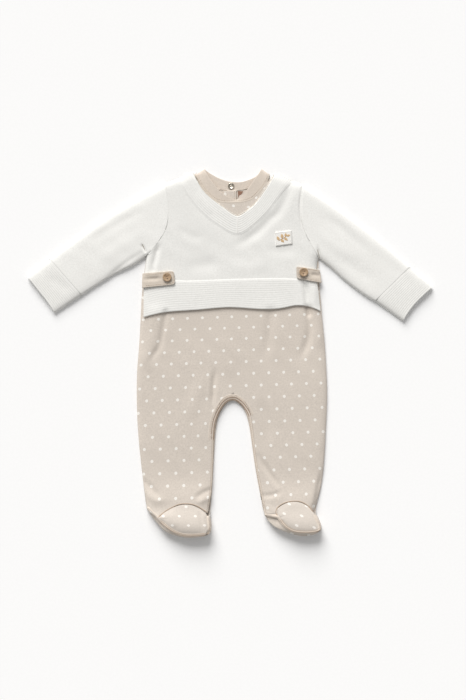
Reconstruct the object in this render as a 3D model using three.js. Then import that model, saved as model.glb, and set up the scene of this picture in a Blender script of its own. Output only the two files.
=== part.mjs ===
// A baby romper laid flat on its back, front up: a dotted jersey body with feet,
// under a half layer cut like a pullover, with ribbed neck, cuffs and hem.
// Millimetres. +X is the viewer's right, +Y points up to the neck and +Z off the floor.
import * as THREE from 'three';
import { mergeVertices } from 'three/addons/utils/BufferGeometryUtils.js';

// Cloth walls
const JERSEY = 1.2;
const KNIT = 1.4;
const RIB = 1.6;
const RIB_RAISE = 0.5;
const SEAM_GAP = 0.3;

// Heights of the layers above the floor
const SEAM_HEIGHT = 2.5;
const BODY_CROWN = 3.2;
const LAYER_GAP = 0.6;
const FOLD_RADIUS = 11;
const BACK_ROLL = 8;
const OVERLAY_OUT = LAYER_GAP + KNIT;
const SLEEVE_DROP = 1.3;
const LEG_RISE = 0.5;
const ANKLE_RISE = 4.6;
const FOOT_PUFF = 4.2;
const HIDDEN_SINK = 0.9;
const BAND_LIFT = 0.2;
const HEM_LIFT = 0.3;

// Heights along the body where the pullover layer stops wrapping round the side
const WRAP_ENDS = 118;
const WRAP_STARTS = 96;
const HEM_SIDE_INSET = 2.6;

// Where the body panels split into torso and legs, and where each panel's patch turns its corners
const SPLIT_AT_SIDE = -18;
const BACK_LEGS_END = -204;
const ARMPIT_SHARE = 0.56;
const OVERLAY_ARMPIT = 0.28;
const NECK_SHARE = 0.12;
const ANKLE_TIP = 0.22;
const CROTCH_REACH = 0.085;

// Gaps and insets of the hidden edges
const FRONT_ARMHOLE_INSET = 2.4;
const BACK_NECK_GAP = 1.2;
const FRONT_BAND_INSET = 1.1;

// Ribs and bands
const HEM_RIBS = 13;
const CUFF_RIBS = 15;
const NECK_RIBS = 8;
const LEG_BAND_WIDTH = 3.2;
const LEG_BAND_GAP = 0.5;
const CROTCH_BAND_WIDTH = 8.6;

// Buttons, snap and patch
const BUTTON_DIAMETER = 12.4;
const BUTTON_THICKNESS = 2.4;
const BUTTON_HOLE = 1.3;
const BUTTON_HOLE_SPREAD = 1.7;
const SNAP_DIAMETER = 9;
const SNAP_HEIGHT = 1.3;
const PATCH_THICKNESS = 1;

// Side tabs, each lifted a little more at its upper edge and where it leaves the side seam
const TAB_WALL = 2;
const TAB_LOW_LIFT = 1.4;
const TAB_HIGH_LIFT = 0.5;
const TAB_END_LIFT = 1.1;
const TAB_END_REACH = 1.6;

// Soles
const SOLE_WALL = 1.4;
const SOLE_RIM = 7;
const SOLE_HEEL_RIM = 1.9;
const SOLE_COLUMNS = 13;
const SEAM_ARCH = 1.4;
const HEEL_INSET = 6;

const BEIGE = 0xd9ccbc;
const WHITE = 0xf1f0ea;
const WOOD = 0xa98863;
const METAL = 0xb9b4aa;
const PATCH_CREAM = 0xefece4;

const rows = (names, values) => values.map((row) => Object.fromEntries(names.map((name, i) => [name, row[i]])));

// Outlines seen from above, each as few points that a smooth curve joins
const SLEEVE_TOP_LEFT = rows(['x', 'y'], [
  [-283.5, 107.8], [-253.4, 131.2], [-187.7, 179.9], [-124, 219.2], [-90.6, 238],
]);
const SHOULDER_LEFT = rows(['x', 'y'], [[-90.6, 238], [-71.4, 245.2], [-52.8, 254], [-47.4, 251.2]]);
const SHOULDER_RIGHT = rows(['x', 'y'], [[53.6, 252.4], [63.4, 251.6], [86, 242.4], [100.8, 236]]);
const SLEEVE_TOP_RIGHT = rows(['x', 'y'], [
  [100.8, 236], [137.1, 211.7], [181.2, 179.9], [220.6, 148], [252.8, 119.7], [283.5, 93.4],
]);
const SLEEVE_UNDER_LEFT = rows(['x', 'y'], [
  [-116.2, 137], [-133.1, 124], [-157.4, 113.1], [-180.2, 99.4], [-208.6, 80.5], [-245, 56],
]);
const SLEEVE_UNDER_RIGHT = rows(['x', 'y'], [
  [242, 45], [203.7, 72.1], [190.3, 79.7], [159.9, 102.5], [140.1, 120.7], [123.5, 133],
]);
const SIDE_LEFT = rows(['x', 'y'], [
  [-116.2, 137], [-118.3, 120], [-121.4, 105], [-123.2, 88], [-124.4, 68], [-123.8, 50], [-127, 10],
  [-129.8, -22], [-130.3, -75], [-128.8, -107], [-125.3, -145], [-120.7, -185], [-118, -206], [-116.2, -217],
]);
const SIDE_RIGHT = rows(['x', 'y'], [
  [123.5, 133], [120.2, 119], [123.5, 102], [126.2, 88], [127.2, 68], [129, 48], [131.6, 24], [133.4, 0],
  [135.5, -43], [135.8, -65], [134.7, -92], [132.6, -132], [130.4, -166], [126.2, -192], [117.5, -221],
]);
const INSEAM = rows(['x', 'y'], [
  [47.6, -227], [42.8, -199], [36.1, -166], [31.5, -135], [30, -121], [27.2, -99.4], [22.3, -82.6],
  [14.3, -71.4], [4, -65.7], [-5, -69.8], [-12, -79], [-18.2, -92], [-20.8, -108], [-22, -130],
  [-23.2, -163], [-23.4, -180],
  [-25.6, -199], [-29.5, -223],
]);
const ARMHOLE_LEFT = rows(['x', 'y'], [
  [-90.6, 238], [-86.5, 213.6], [-85.7, 191], [-89.3, 170.5], [-99, 157], [-116.2, 137],
]);
const ARMHOLE_RIGHT = rows(['x', 'y'], [
  [100.8, 236], [98.1, 210], [99.1, 187.5], [104.7, 166.7], [115, 150], [123.5, 133],
]);
const CUFF_SEAM_LEFT = rows(['x', 'y'], [[-253.4, 131.2], [-232, 106.5], [-208.6, 80.5]]);
const CUFF_END_LEFT = rows(['x', 'y'], [[-283.5, 107.8], [-265, 84.5], [-252, 68], [-245, 56]]);
const CUFF_SEAM_RIGHT = rows(['x', 'y'], [[252.8, 119.7], [228, 95.5], [203.7, 72.1]]);
const CUFF_END_RIGHT = rows(['x', 'y'], [[283.5, 93.4], [261.1, 72.5], [250.6, 60.5], [242, 45]]);
const BAND_INNER = rows(['x', 'y'], [
  [-52.8, 254], [-40, 230], [-27, 216.5], [-8, 202.4], [10.2, 191.1], [21.4, 197.1], [35.1, 207.5],
  [47.2, 225.1], [56.8, 238.8], [63.4, 251.6],
]);
const BAND_OUTER = rows(['x', 'y'], [
  [-71.4, 245.2], [-58.4, 220.5], [-36, 194.3], [-11, 175.8], [10.4, 166.3], [33.5, 180.3], [53.6, 199.9],
  [71, 224.3], [80.5, 235.5], [86, 242.4],
]);
const HEM_TOP = rows(['x', 'y'], [
  [-120.4, 92], [-99, 97.5], [-75.6, 100], [-56, 99.6], [13.7, 102], [66.2, 103], [98, 102], [121.7, 98.7],
]);
const HEM_FREE = rows(['x', 'y'], [
  [-120.8, 50.8], [-91.3, 57.5], [-46.2, 60.9], [-1.3, 64.5], [47.5, 61.7], [70, 62.7], [92.5, 67.3],
  [111.3, 65.5], [126.4, 59.4],
]);
const NECK_FRONT_SEAM = rows(['x', 'y'], [
  [-47.4, 250], [-44, 240], [-36, 227], [-27, 217.5], [-18.6, 213], [-5, 211.4], [7.8, 211.2], [19, 212.5],
  [31.1, 217], [41.6, 226.6], [49.6, 237.2], [53.4, 246], [53.8, 251],
]);
const NECK_BACK_SEAM = rows(['x', 'y'], [
  [-47.4, 250], [-43, 241.4], [-32, 233.4], [-15, 228], [5, 226.6], [22, 228], [38, 233.4], [49, 241.4],
  [53.8, 251],
]);
const ANKLE_LEFT = rows(['x', 'y'], [
  [-101.1, -228.6], [-90.4, -219.9], [-79, -213.5], [-70.4, -210], [-60.5, -209.3], [-50.4, -210.7],
  [-40.5, -215.7], [-32.8, -221.5],
]);
const ANKLE_RIGHT = rows(['x', 'y'], [
  [66.5, -227.8], [64, -220], [67.5, -213.5], [75, -208.5], [85, -205.7], [95.8, -205.7], [103.6, -208.5],
  [109.3, -212.8], [117.5, -221],
]);

// Foot seams: the upper's front edge at the sole, and the outline of the sole
const FOOT_LEFT = {
  front: rows(['x', 'y'], [
    [-98.6, -232.6], [-86.8, -242.4], [-76.2, -248.6], [-65.4, -252.4], [-54.7, -253], [-42, -252.4],
    [-32, -251.6], [-28.3, -245], [-28.2, -236], [-30.6, -228],
  ]),
  outline: rows(['x', 'y'], [
    [-118.4, -205.2], [-116.4, -217], [-109.8, -227], [-99, -240], [-90.4, -249.2], [-74.8, -254.9],
    [-58.2, -257.9], [-44, -256.6], [-31, -254.9], [-27.3, -248], [-27, -238], [-27.6, -224], [-26.4, -205.2],
  ]),
};
const FOOT_RIGHT = {
  front: rows(['x', 'y'], [
    [68.4, -231.2], [75, -239.4], [83.6, -245.4], [92.1, -248.2], [106.4, -249.2], [119, -248.2],
    [126, -245.2], [125.4, -240], [121.4, -230], [117.8, -224.4],
  ]),
  outline: rows(['x', 'y'], [
    [43.8, -205.2], [47, -222], [55, -237], [63.6, -243.5], [77.8, -249.2], [88.6, -252.8], [99.3, -255.6],
    [113.5, -254.2], [125, -250.5], [128, -245.5], [125.8, -238], [119, -224], [122.8, -205.2],
  ]),
};

// Small sheets, each by its four corners
const PLACKET = rows(['x', 'y'], [[-9, 205], [9, 205], [9, 227.4], [-9, 227.4]]);
const TAB_LEFT = rows(['x', 'y'], [[-121.2, 91.6], [-76.5, 96.2], [-78.4, 115.4], [-120.6, 111.8]]);
const TAB_RIGHT = rows(['x', 'y'], [[93.2, 104.6], [126.2, 98.8], [124.6, 116.6], [92.4, 121.8]]);
const PATCH = rows(['x', 'y'], [[64, 149.5], [87, 152.6], [85.8, 171.6], [63.4, 169.4]]);

// Buttons and the neck snap
const BUTTONS = rows(['side', 'x', 'y', 'turn'], [
  ['left', -87.6, 106.4, 0.2], ['right', 102.8, 113.4, -0.3],
]);
const SNAP_AT = { x: 1.4, y: 234.3, z: 2.3 };

// Neck band ring: its seam edge and its free edge, round from the left end over the front
const RING = rows(['seamX', 'seamY', 'seamZ', 'freeX', 'freeY', 'freeZ'], [
  [-47.2, 250.4, 2.9, -35.8, 257.6, 3.2],
  [-44.6, 245.6, 4.6, -33.6, 254, 5.2],
  [-39.6, 233.8, 5, -29.1, 246, 6],
  [-29.6, 220.6, 5, -17.9, 230.7, 6],
  [-18.2, 213.6, 5, -8.3, 221.9, 5.6],
  [-5, 212.1, 5, 2.4, 216.8, 4.8],
  [8.4, 211.9, 5, 9, 214.6, 4],
  [20, 213.4, 5, 15.6, 219.4, 4.6],
  [31, 217.7, 5, 23.6, 228.6, 5.4],
  [42, 227.6, 5, 32, 240.4, 6],
  [49.6, 238, 4.9, 38.6, 249.2, 5.6],
  [52.8, 247, 4.3, 42.6, 255.6, 4.8],
  [53.2, 250.6, 2.9, 44.2, 257.6, 3.2],
  [50.6, 246.6, 1.6, 41.8, 253.6, 1.8],
  [43, 239.2, 1.1, 36, 247.4, 1.3],
  [31, 232.6, 1.1, 27, 243.2, 1.3],
  [14, 229, 1.1, 14.6, 239.6, 1.4],
  [-4, 228.7, 1.1, -2, 240.6, 1.4],
  [-20, 231.2, 1.1, -16, 245.4, 1.3],
  [-34, 237.6, 1.1, -26, 250.8, 1.3],
  [-43, 245.6, 1.5, -32.4, 255, 1.7],
]);

// Broad folds of the cloth: a soft ridge where rise is above zero, a trough below
const FOLDS = rows(['x1', 'y1', 'x2', 'y2', 'width', 'rise'], [
  [-88, 56, -116, -22, 10, 0.9],
  [-104, 50, -118, 0, 8, -0.5],
  [52, 48, 56, 0, 9, -0.5],
  [110, 58, 100, -5, 9, -0.7],
  [-24, -34, -26, -75, 6, -0.5],
  [-75, -40, -80, -160, 26, 0.6],
  [92, -60, 88, -170, 24, 0.6],
  [-48, -193, -27, -196, 7, 0.9],
  [-112, -188, -88, -200, 7, 0.8],
  [45, -196, 66, -199, 6, 0.7],
]);

const curveOf = (table) => {
  const points = table.map((row) => new THREE.Vector3(row.x, row.y, 0));
  return new THREE.CatmullRomCurve3(points, false, 'centripetal');
};
const along = (table) => {
  const curve = curveOf(table);
  return (t) => {
    const p = curve.getPointAt(THREE.MathUtils.clamp(t, 0, 1));
    return { x: p.x, y: p.y };
  };
};
const reversed = (path) => (t) => path(1 - t);
const mix = (a, b, t) => a + (b - a) * t;
const mixPoint = (a, b, t) => ({ x: mix(a.x, b.x, t), y: mix(a.y, b.y, t) });
const straight = (a, b) => (t) => mixPoint(a, b, t);
const steps = (count, from = 0, to = 1) =>
  Array.from({ length: count + 1 }, (_, i) => mix(from, to, i / count));
const smooth = (value, from, to) => THREE.MathUtils.smoothstep(value, from, to);

// Several curves end to end, each over its own share of the run from 0 to 1
function chain(...legs) {
  return (t) => {
    let start = 0;
    for (const leg of legs) {
      if (t <= leg.until || leg === legs[legs.length - 1]) {
        return leg.path(THREE.MathUtils.clamp((t - start) / (leg.until - start), 0, 1));
      }
      start = leg.until;
    }
    return null;
  };
}

// A patch spanned between four curves that share their corners; u runs left to right, v upwards
function spanned(bottom, top, left, right) {
  const corners = [bottom(0), bottom(1), top(0), top(1)];
  const blend = (u, v, key) => {
    const ruled = mix(bottom(u)[key], top(u)[key], v) + mix(left(v)[key], right(v)[key], u);
    const lower = mix(corners[0][key], corners[1][key], u);
    const upper = mix(corners[2][key], corners[3][key], u);
    return ruled - mix(lower, upper, v);
  };
  return (u, v) => ({ x: blend(u, v, 'x'), y: blend(u, v, 'y') });
}

// Folded edges of the garment, each run so that the cloth is on its right hand
const FOLDED_EDGES = [
  [SLEEVE_TOP_LEFT, SHOULDER_LEFT],
  [SHOULDER_RIGHT, SLEEVE_TOP_RIGHT],
  [SLEEVE_UNDER_RIGHT, SIDE_RIGHT],
  [[...SIDE_LEFT].reverse(), SLEEVE_UNDER_LEFT],
  [INSEAM],
].map((tables) => tables.flatMap((table) => curveOf(table).getSpacedPoints(table.length * 5)));

// Distance inward from the nearest folded edge, with the direction that leads inward
function fromEdge(x, y) {
  let best = { distance: Infinity };
  for (const line of FOLDED_EDGES) {
    for (let i = 1; i < line.length; i += 1) {
      const a = line[i - 1];
      const dx = line[i].x - a.x;
      const dy = line[i].y - a.y;
      const length = Math.hypot(dx, dy);
      if (length < 1e-6) continue;
      const t = THREE.MathUtils.clamp(((x - a.x) * dx + (y - a.y) * dy) / length ** 2, 0, 1);
      const px = x - a.x - dx * t;
      const py = y - a.y - dy * t;
      const distance = Math.hypot(px, py);
      const square = Math.abs(px * dy - py * dx) / length;
      const isTie = Math.abs(distance - best.distance) < 1e-6;
      if (isTie ? square <= best.square : distance > best.distance) continue;
      const side = px * dy - py * dx >= 0 ? 1 : -1;
      const inward = distance > 1e-4
        ? { nx: (px / distance) * side, ny: (py / distance) * side }
        : { nx: dy / length, ny: -dx / length };
      best = { distance, square, signed: distance * side, ...inward };
    }
  }
  return best;
}

const roundedEdge = (k) => Math.sqrt(Math.max(0, 1 - (1 - k) * (1 - k)));

function foldRise(x, y) {
  return FOLDS.reduce((sum, fold) => {
    const dx = fold.x2 - fold.x1;
    const dy = fold.y2 - fold.y1;
    const t = THREE.MathUtils.clamp(((x - fold.x1) * dx + (y - fold.y1) * dy) / (dx * dx + dy * dy), 0, 1);
    const off = Math.hypot(x - fold.x1 - dx * t, y - fold.y1 - dy * t);
    return sum + fold.rise * Math.sin(Math.PI * mix(0.15, 0.85, t)) * Math.exp(-((off / fold.width) ** 2));
  }, 0);
}

// Crown of the body front above the side seam
function crown(x, y) {
  const sleeve = SLEEVE_DROP * smooth(Math.abs(x), 100, 150) * smooth(y, 30, 60);
  const leg = LEG_RISE * (1 - smooth(y, -60, 40));
  const ankle = ANKLE_RISE * (1 - smooth(y, -212, -172));
  return BODY_CROWN - sleeve + leg + ankle + foldRise(x, y);
}

// Share by which the side edge belongs to the body and no longer to the pullover layer
const bodyEdge = (y) => 1 - smooth(y, WRAP_STARTS, WRAP_ENDS);
const skinShift = (y) => -OVERLAY_OUT * (1 - bodyEdge(y));

// A point on the skin that lies the given distance outside the body front
function onFront({ x, y }, out, wall) {
  const edge = fromEdge(x, y);
  const shift = out + skinShift(y);
  const k = THREE.MathUtils.clamp((edge.signed + shift) / (FOLD_RADIUS + shift), 0, 1);
  const high = SEAM_HEIGHT + SEAM_GAP / 2;
  const rise = crown(x, y) + out;
  const inset = wall * (1 - k);
  return {
    outer: new THREE.Vector3(x, y, high + rise * roundedEdge(k)),
    inner: new THREE.Vector3(x + edge.nx * inset, y + edge.ny * inset, high + (rise - wall) * roundedEdge(k)),
  };
}

// The same for the cloth that lies on the floor
function onBack({ x, y }, wall) {
  const edge = fromEdge(x, y);
  const k = THREE.MathUtils.clamp(edge.signed / BACK_ROLL, 0, 1);
  const high = SEAM_HEIGHT - SEAM_GAP / 2;
  const inset = wall * (1 - k);
  return {
    outer: new THREE.Vector3(x, y, high * (1 - roundedEdge(k))),
    inner: new THREE.Vector3(x + edge.nx * inset, y + edge.ny * inset, high - (high - wall) * roundedEdge(k)),
  };
}

// Collects triangles and closes walls
class Cloth {
  constructor() {
    this.corners = [];
  }

  triangle(a, b, c) {
    this.corners.push(a, b, c);
  }

  // A strip between two runs of points; it passes the first backwards and the second forwards
  zip(first, second) {
    let i = 0;
    let j = 0;
    while (i < first.length - 1 || j < second.length - 1) {
      const nextFirst = (i + 1) / (first.length - 1);
      const nextSecond = (j + 1) / (second.length - 1);
      if (j >= second.length - 1 || (i < first.length - 1 && nextFirst <= nextSecond + 1e-9)) {
        this.triangle(first[i + 1], first[i], second[j]);
        i += 1;
      } else {
        this.triangle(second[j], second[j + 1], first[i]);
        j += 1;
      }
    }
  }

  surface(grid, facesUp) {
    for (let r = 1; r < grid.length; r += 1) {
      for (let c = 1; c < grid[r].length; c += 1) {
        const [a, b, d, e] = [grid[r - 1][c - 1], grid[r - 1][c], grid[r][c], grid[r][c - 1]];
        if (facesUp) {
          this.triangle(a, b, d);
          this.triangle(a, d, e);
        } else {
          this.triangle(b, a, d);
          this.triangle(d, a, e);
        }
      }
    }
  }

  // A wall between an outer and an inner grid, whose counts may differ; a tube has no side rims
  wall(outer, inner, isTube = false) {
    this.surface(outer, true);
    this.surface(inner, false);
    const last = (grid) => grid[grid.length - 1];
    this.zip(outer[0], inner[0]);
    this.zip([...last(outer)].reverse(), [...last(inner)].reverse());
    if (!isTube) {
      const leftOf = (grid) => grid.map((row) => row[0]).reverse();
      const rightOf = (grid) => grid.map((row) => row[row.length - 1]);
      this.zip(rightOf(outer), rightOf(inner));
      this.zip(leftOf(outer), leftOf(inner));
    }
    return this;
  }

  geometry() {
    const positions = new Float32Array(this.corners.flatMap((p) => [p.x, p.y, p.z]));
    const raw = new THREE.BufferGeometry();
    raw.setAttribute('position', new THREE.BufferAttribute(positions, 3));
    const merged = mergeVertices(raw, 1e-3);
    merged.computeVertexNormals();
    return merged;
  }
}

const romper = new THREE.Group();

function addPiece(name, geometry, color, roughness = 0.95, metalness = 0) {
  const mesh = new THREE.Mesh(geometry, new THREE.MeshStandardMaterial({ color, roughness, metalness }));
  mesh.name = name;
  romper.add(mesh);
  return mesh;
}

// Steps across a piece that is folded at one or both sides, closer together at the fold
function acrossSteps(width, middle, foldLeft = true, foldRight = true, radius = FOLD_RADIUS) {
  const bend = [0, 0.15, 0.5].map((k) => (k * radius) / width);
  const left = foldLeft ? bend : [];
  const right = foldRight ? bend.map((k) => 1 - k).reverse() : [];
  const from = foldLeft ? radius / width : 0;
  const to = foldRight ? 1 - radius / width : 1;
  return [...left, ...steps(middle, from, to), ...right];
}

const gridOf = (patch, us, vs, place) => vs.map((v) => us.map((u) => place(patch(u, v), u, v)));
const outerOf = (grid) => grid.map((row) => row.map((point) => point.outer));
const innerOf = (grid) => grid.map((row) => row.map((point) => point.inner));

// Moves a curve sideways, to the right of its direction
function besideCurve(path, distance) {
  return (t) => {
    const a = path(Math.max(0, t - 0.01));
    const b = path(Math.min(1, t + 0.01));
    const length = Math.hypot(b.x - a.x, b.y - a.y);
    const p = path(t);
    const off = typeof distance === 'function' ? distance(t) : distance;
    return { x: p.x + ((b.y - a.y) / length) * off, y: p.y - ((b.x - a.x) / length) * off };
  };
}

// Body panels: a torso patch and two leg patches that share its lower corners
const part = (path, from, to) => (t) => path(mix(from, to, t));
const CROTCH_SHARE = steps(400).reduce((top, t) => (along(INSEAM)(t).y > along(INSEAM)(top).y ? t : top), 0);
const bandWidth = (t) => {
  const near = Math.exp(-(((t - CROTCH_SHARE) / CROTCH_REACH) ** 2));
  return LEG_BAND_WIDTH + (CROTCH_BAND_WIDTH - LEG_BAND_WIDTH) * near;
};

// Moves a path's two ends onto given points, fading along it
function tied(path, start, end) {
  const from = path(0);
  const to = path(1);
  return (t) => {
    const p = path(t);
    const a = (1 - t) ** 3;
    const b = t ** 3;
    return {
      x: p.x + (start.x - from.x) * a + (end.x - to.x) * b,
      y: p.y + (start.y - from.y) * a + (end.y - to.y) * b,
    };
  };
}

// How far along a path its height first falls to the given one
function shareAtHeight(path, height, from = 0, to = 1) {
  const found = steps(2000, from, to).find((t) => path(t).y <= height);
  return found === undefined ? to : found;
}

// The panel's outline; the insets draw the hidden front in under the pullover layer
function bodyOutline({ neck, neckGap, sideInset, armholeInset, ankles, legsEnd }) {
  const inset = (path, sign) => (t) => {
    const p = path(t);
    return { x: p.x + sign * sideInset(p.y), y: p.y };
  };
  const left = inset(along(SIDE_LEFT), 1);
  const right = inset(along(SIDE_RIGHT), -1);
  const inseam = besideCurve(along(INSEAM), (t) => bandWidth(t) + LEG_BAND_GAP);
  const crotch = inseam(CROTCH_SHARE);
  const ends = {
    left: shareAtHeight(left, legsEnd, 0.5),
    right: shareAtHeight(right, legsEnd, 0.5),
    inLeft: shareAtHeight(inseam, legsEnd, 0.6),
    inRight: 1 - shareAtHeight(reversed(inseam), legsEnd, 0.6),
  };
  const cut = { left: shareAtHeight(left, SPLIT_AT_SIDE), right: shareAtHeight(right, SPLIT_AT_SIDE) };

  const shoulderDrop = sideInset(WRAP_ENDS + 1);
  const lowered = (p) => ({ x: p.x, y: p.y - shoulderDrop });
  const armhole = (table, side, sign) => {
    const line = besideCurve(along(table), sign * armholeInset);
    return tied(line, lowered(line(0)), side(0));
  };
  const armLeft = armhole(ARMHOLE_LEFT, left, -1);
  const armRight = armhole(ARMHOLE_RIGHT, right, 1);
  const seam = besideCurve(along(neck), neckGap);
  const neckSeam = tied(seam, lowered(seam(0)), lowered(seam(1)));
  const sideOf = (side, cutAt, arm) => chain(
    { path: part(side, cutAt, 0), until: ARMPIT_SHARE },
    { path: reversed(arm), until: 1 },
  );
  const torsoBottom = chain(
    { path: straight(left(cut.left), crotch), until: 0.5 },
    { path: straight(crotch, right(cut.right)), until: 1 },
  );
  const torsoTop = chain(
    { path: straight(armLeft(0), neckSeam(0)), until: 0.2 },
    { path: neckSeam, until: 0.8 },
    { path: straight(neckSeam(1), armRight(0)), until: 1 },
  );
  const ankleLeft = ankles.left(left(ends.left), inseam(ends.inLeft));
  const ankleRight = ankles.right(inseam(ends.inRight), right(ends.right));
  return {
    torso: spanned(torsoBottom, torsoTop, sideOf(left, cut.left, armLeft), sideOf(right, cut.right, armRight)),
    legLeft: spanned(
      ankleLeft,
      straight(left(cut.left), crotch),
      part(left, ends.left, cut.left),
      part(inseam, ends.inLeft, CROTCH_SHARE),
    ),
    legRight: spanned(
      ankleRight,
      straight(crotch, right(cut.right)),
      part(inseam, ends.inRight, CROTCH_SHARE),
      part(right, ends.right, cut.right),
    ),
    ankleLeft,
    ankleRight,
    bandRun: (legSteps) => [
      ...legSteps.map((v) => mix(ends.inRight, CROTCH_SHARE, v)),
      ...[...legSteps].reverse().slice(1).map((v) => mix(ends.inLeft, CROTCH_SHARE, v)),
    ],
  };
}

function buildBody(outline, place, half, torsoSteps, legSteps) {
  const cloth = new Cloth();
  const otherHalf = half.map((u) => 1 - u).reverse();
  const across = [...half.map((u) => u / 2), ...otherHalf.slice(1).map((u) => 0.5 + u / 2)];
  const torso = gridOf(outline.torso, across, torsoSteps, place);
  const middle = half.length - 1;
  const left = gridOf(outline.legLeft, half, legSteps, place);
  const right = gridOf(outline.legRight, otherHalf, legSteps, place);
  left[left.length - 1] = torso[0].slice(0, middle + 1);
  right[right.length - 1] = torso[0].slice(middle);
  for (const grid of [torso, left, right]) {
    cloth.surface(outerOf(grid), true);
    cloth.surface(innerOf(grid), false);
  }
  const rim = (points) => cloth.zip(points.map((p) => p.outer), points.map((p) => p.inner));
  const leftOf = (grid) => grid.map((row) => row[0]).reverse();
  const rightOf = (grid) => grid.map((row) => row[row.length - 1]);
  rim([...torso[torso.length - 1]].reverse());
  rim(leftOf(torso));
  rim(rightOf(torso));
  for (const leg of [left, right]) {
    rim(leg[0]);
    rim(leftOf(leg));
    rim(rightOf(leg));
  }
  return cloth;
}

// Stations shared by the pieces on both sides of a seam, so that their edges stay parallel
const SLEEVE_ACROSS = acrossSteps(80, 5);
const armholeRows = (from) => SLEEVE_ACROSS.map((u) => mix(from, 1, 1 - u)).reverse();
const HALF_FRONT = [0, 0.012, 0.045, 0.09, ANKLE_TIP, 0.36, 0.5, 0.64, 0.78, 0.9, 1];
const FRONT_LEG_STEPS = [0, 0.06, 0.13, 0.22, 0.35, 0.48, 0.6, 0.71, 0.8, 0.87, 0.92, 0.96, 1];
const BACK_LEG_STEPS = [0, 0.3, 0.55, 0.74, 0.84, 0.91, 0.96, 1];

// Under the pullover layer the front lies a little deeper
const hiddenDepth = ({ x, y }) => HIDDEN_SINK * smooth(Math.abs(x - 8), 52, 72) * smooth(y, 72, 92);
const ankleLine = (arc) => (heel, inner) => {
  const path = along(arc);
  const tip = path(0);
  const curved = tied(path, tip, inner);
  return chain({ path: straight(heel, tip), until: ANKLE_TIP }, { path: curved, until: 1 });
};
const frontOutline = bodyOutline({
  neck: NECK_FRONT_SEAM,
  neckGap: SEAM_GAP,
  sideInset: (y) => -1.35 * skinShift(y),
  armholeInset: FRONT_ARMHOLE_INSET,
  ankles: { left: ankleLine(ANKLE_LEFT), right: ankleLine(ANKLE_RIGHT) },
  legsEnd: -400,
});
const frontCloth = buildBody(
  frontOutline,
  (p) => onFront(p, -hiddenDepth(p), JERSEY),
  HALF_FRONT,
  [0, 0.07, 0.14, 0.22, 0.3, 0.38, 0.47, 0.6, 0.74, 0.86, 0.94, 0.985, 1],
  FRONT_LEG_STEPS,
);
addPiece('front_body', frontCloth.geometry(), BEIGE);

const backOutline = bodyOutline({
  neck: NECK_BACK_SEAM,
  neckGap: BACK_NECK_GAP,
  sideInset: () => 0,
  armholeInset: SEAM_GAP,
  ankles: { left: straight, right: straight },
  legsEnd: BACK_LEGS_END,
});
const turned = ({ outer, inner }) => ({ outer: inner, inner: outer });
const backCloth = buildBody(
  backOutline,
  (p) => turned(onBack(p, JERSEY)),
  [0, 0.012, 0.035, 0.08, 0.3, 0.6, 1],
  [0, 0.14, 0.3, 0.42, ...armholeRows(ARMPIT_SHARE)],
  BACK_LEG_STEPS,
);
addPiece('back_body', backCloth.geometry(), BEIGE);

// Pullover front, from the hem band's seam to the shoulders and the neck band
const overlayEdge = (side, sign) => (t) => {
  const p = side(t);
  return { x: p.x + sign * HEM_SIDE_INSET * bodyEdge(p.y), y: p.y };
};
const overlayLeft = overlayEdge(along(SIDE_LEFT), 1);
const overlayRight = overlayEdge(along(SIDE_RIGHT), -1);
const hemTop = along(HEM_TOP);
const hemFree = along(HEM_FREE);
const overlayCut = {
  left: shareAtHeight(overlayLeft, HEM_TOP[0].y + SEAM_GAP),
  right: shareAtHeight(overlayRight, HEM_TOP[HEM_TOP.length - 1].y + SEAM_GAP),
};
const overlaySide = (edge, armhole, cut, inset) => {
  const line = besideCurve(armhole, inset);
  return chain(
    { path: part(edge, cut, 0), until: OVERLAY_ARMPIT },
    { path: reversed(tied(line, line(0), edge(0))), until: 1 },
  );
};
const overlayLeftSide = overlaySide(overlayLeft, along(ARMHOLE_LEFT), overlayCut.left, -SEAM_GAP / 2);
const overlayRightSide = overlaySide(overlayRight, along(ARMHOLE_RIGHT), overlayCut.right, SEAM_GAP / 2);
const bandOuterLine = besideCurve(along(BAND_OUTER), SEAM_GAP);
const tipOf = (table) => {
  const curve = curveOf(table);
  const low = table.reduce((best, row) => (row.y < best.y ? row : best));
  let best = 0;
  for (const t of steps(800)) {
    const p = curve.getPointAt(t);
    const q = curve.getPointAt(best);
    if (Math.hypot(p.x - low.x, p.y - low.y) < Math.hypot(q.x - low.x, q.y - low.y)) best = t;
  }
  return best;
};
const halves = (path, tip) => (t) => path(t < 0.5 ? (t / 0.5) * tip : tip + ((t - 0.5) / 0.5) * (1 - tip));
const bandOuter = halves(along(BAND_OUTER), tipOf(BAND_OUTER));
const bandInner = halves(along(BAND_INNER), tipOf(BAND_INNER));
const overlayNeck = halves(bandOuterLine, tipOf(BAND_OUTER));
const overlayTop = chain(
  { path: straight(overlayLeftSide(1), overlayNeck(0)), until: NECK_SHARE },
  { path: overlayNeck, until: 1 - NECK_SHARE },
  { path: straight(overlayNeck(1), overlayRightSide(1)), until: 1 },
);
const overlayBottom = tied(besideCurve(hemTop, -SEAM_GAP), overlayLeftSide(0), overlayRightSide(0));
const overlayPatch = spanned(overlayBottom, overlayTop, overlayLeftSide, overlayRightSide);
const neckAcross = [0, 0.035, 0.07, 0.14, 0.21, 0.28, 0.35, 0.42, 0.465, 0.5, 0.535, 0.58, 0.65, 0.72, 0.79,
  0.86, 0.93, 0.965, 1];
const overlayAcross = [0, 0.012, 0.04, 0.08, ...neckAcross.map((u) => mix(NECK_SHARE, 1 - NECK_SHARE, u)), 0.92,
  0.96, 0.988, 1];
const overlayRows = [0, 0.1, 0.2, ...armholeRows(OVERLAY_ARMPIT)];
const overlayGrid = gridOf(overlayPatch, overlayAcross, overlayRows, (p) => onFront(p, OVERLAY_OUT, KNIT));
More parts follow.
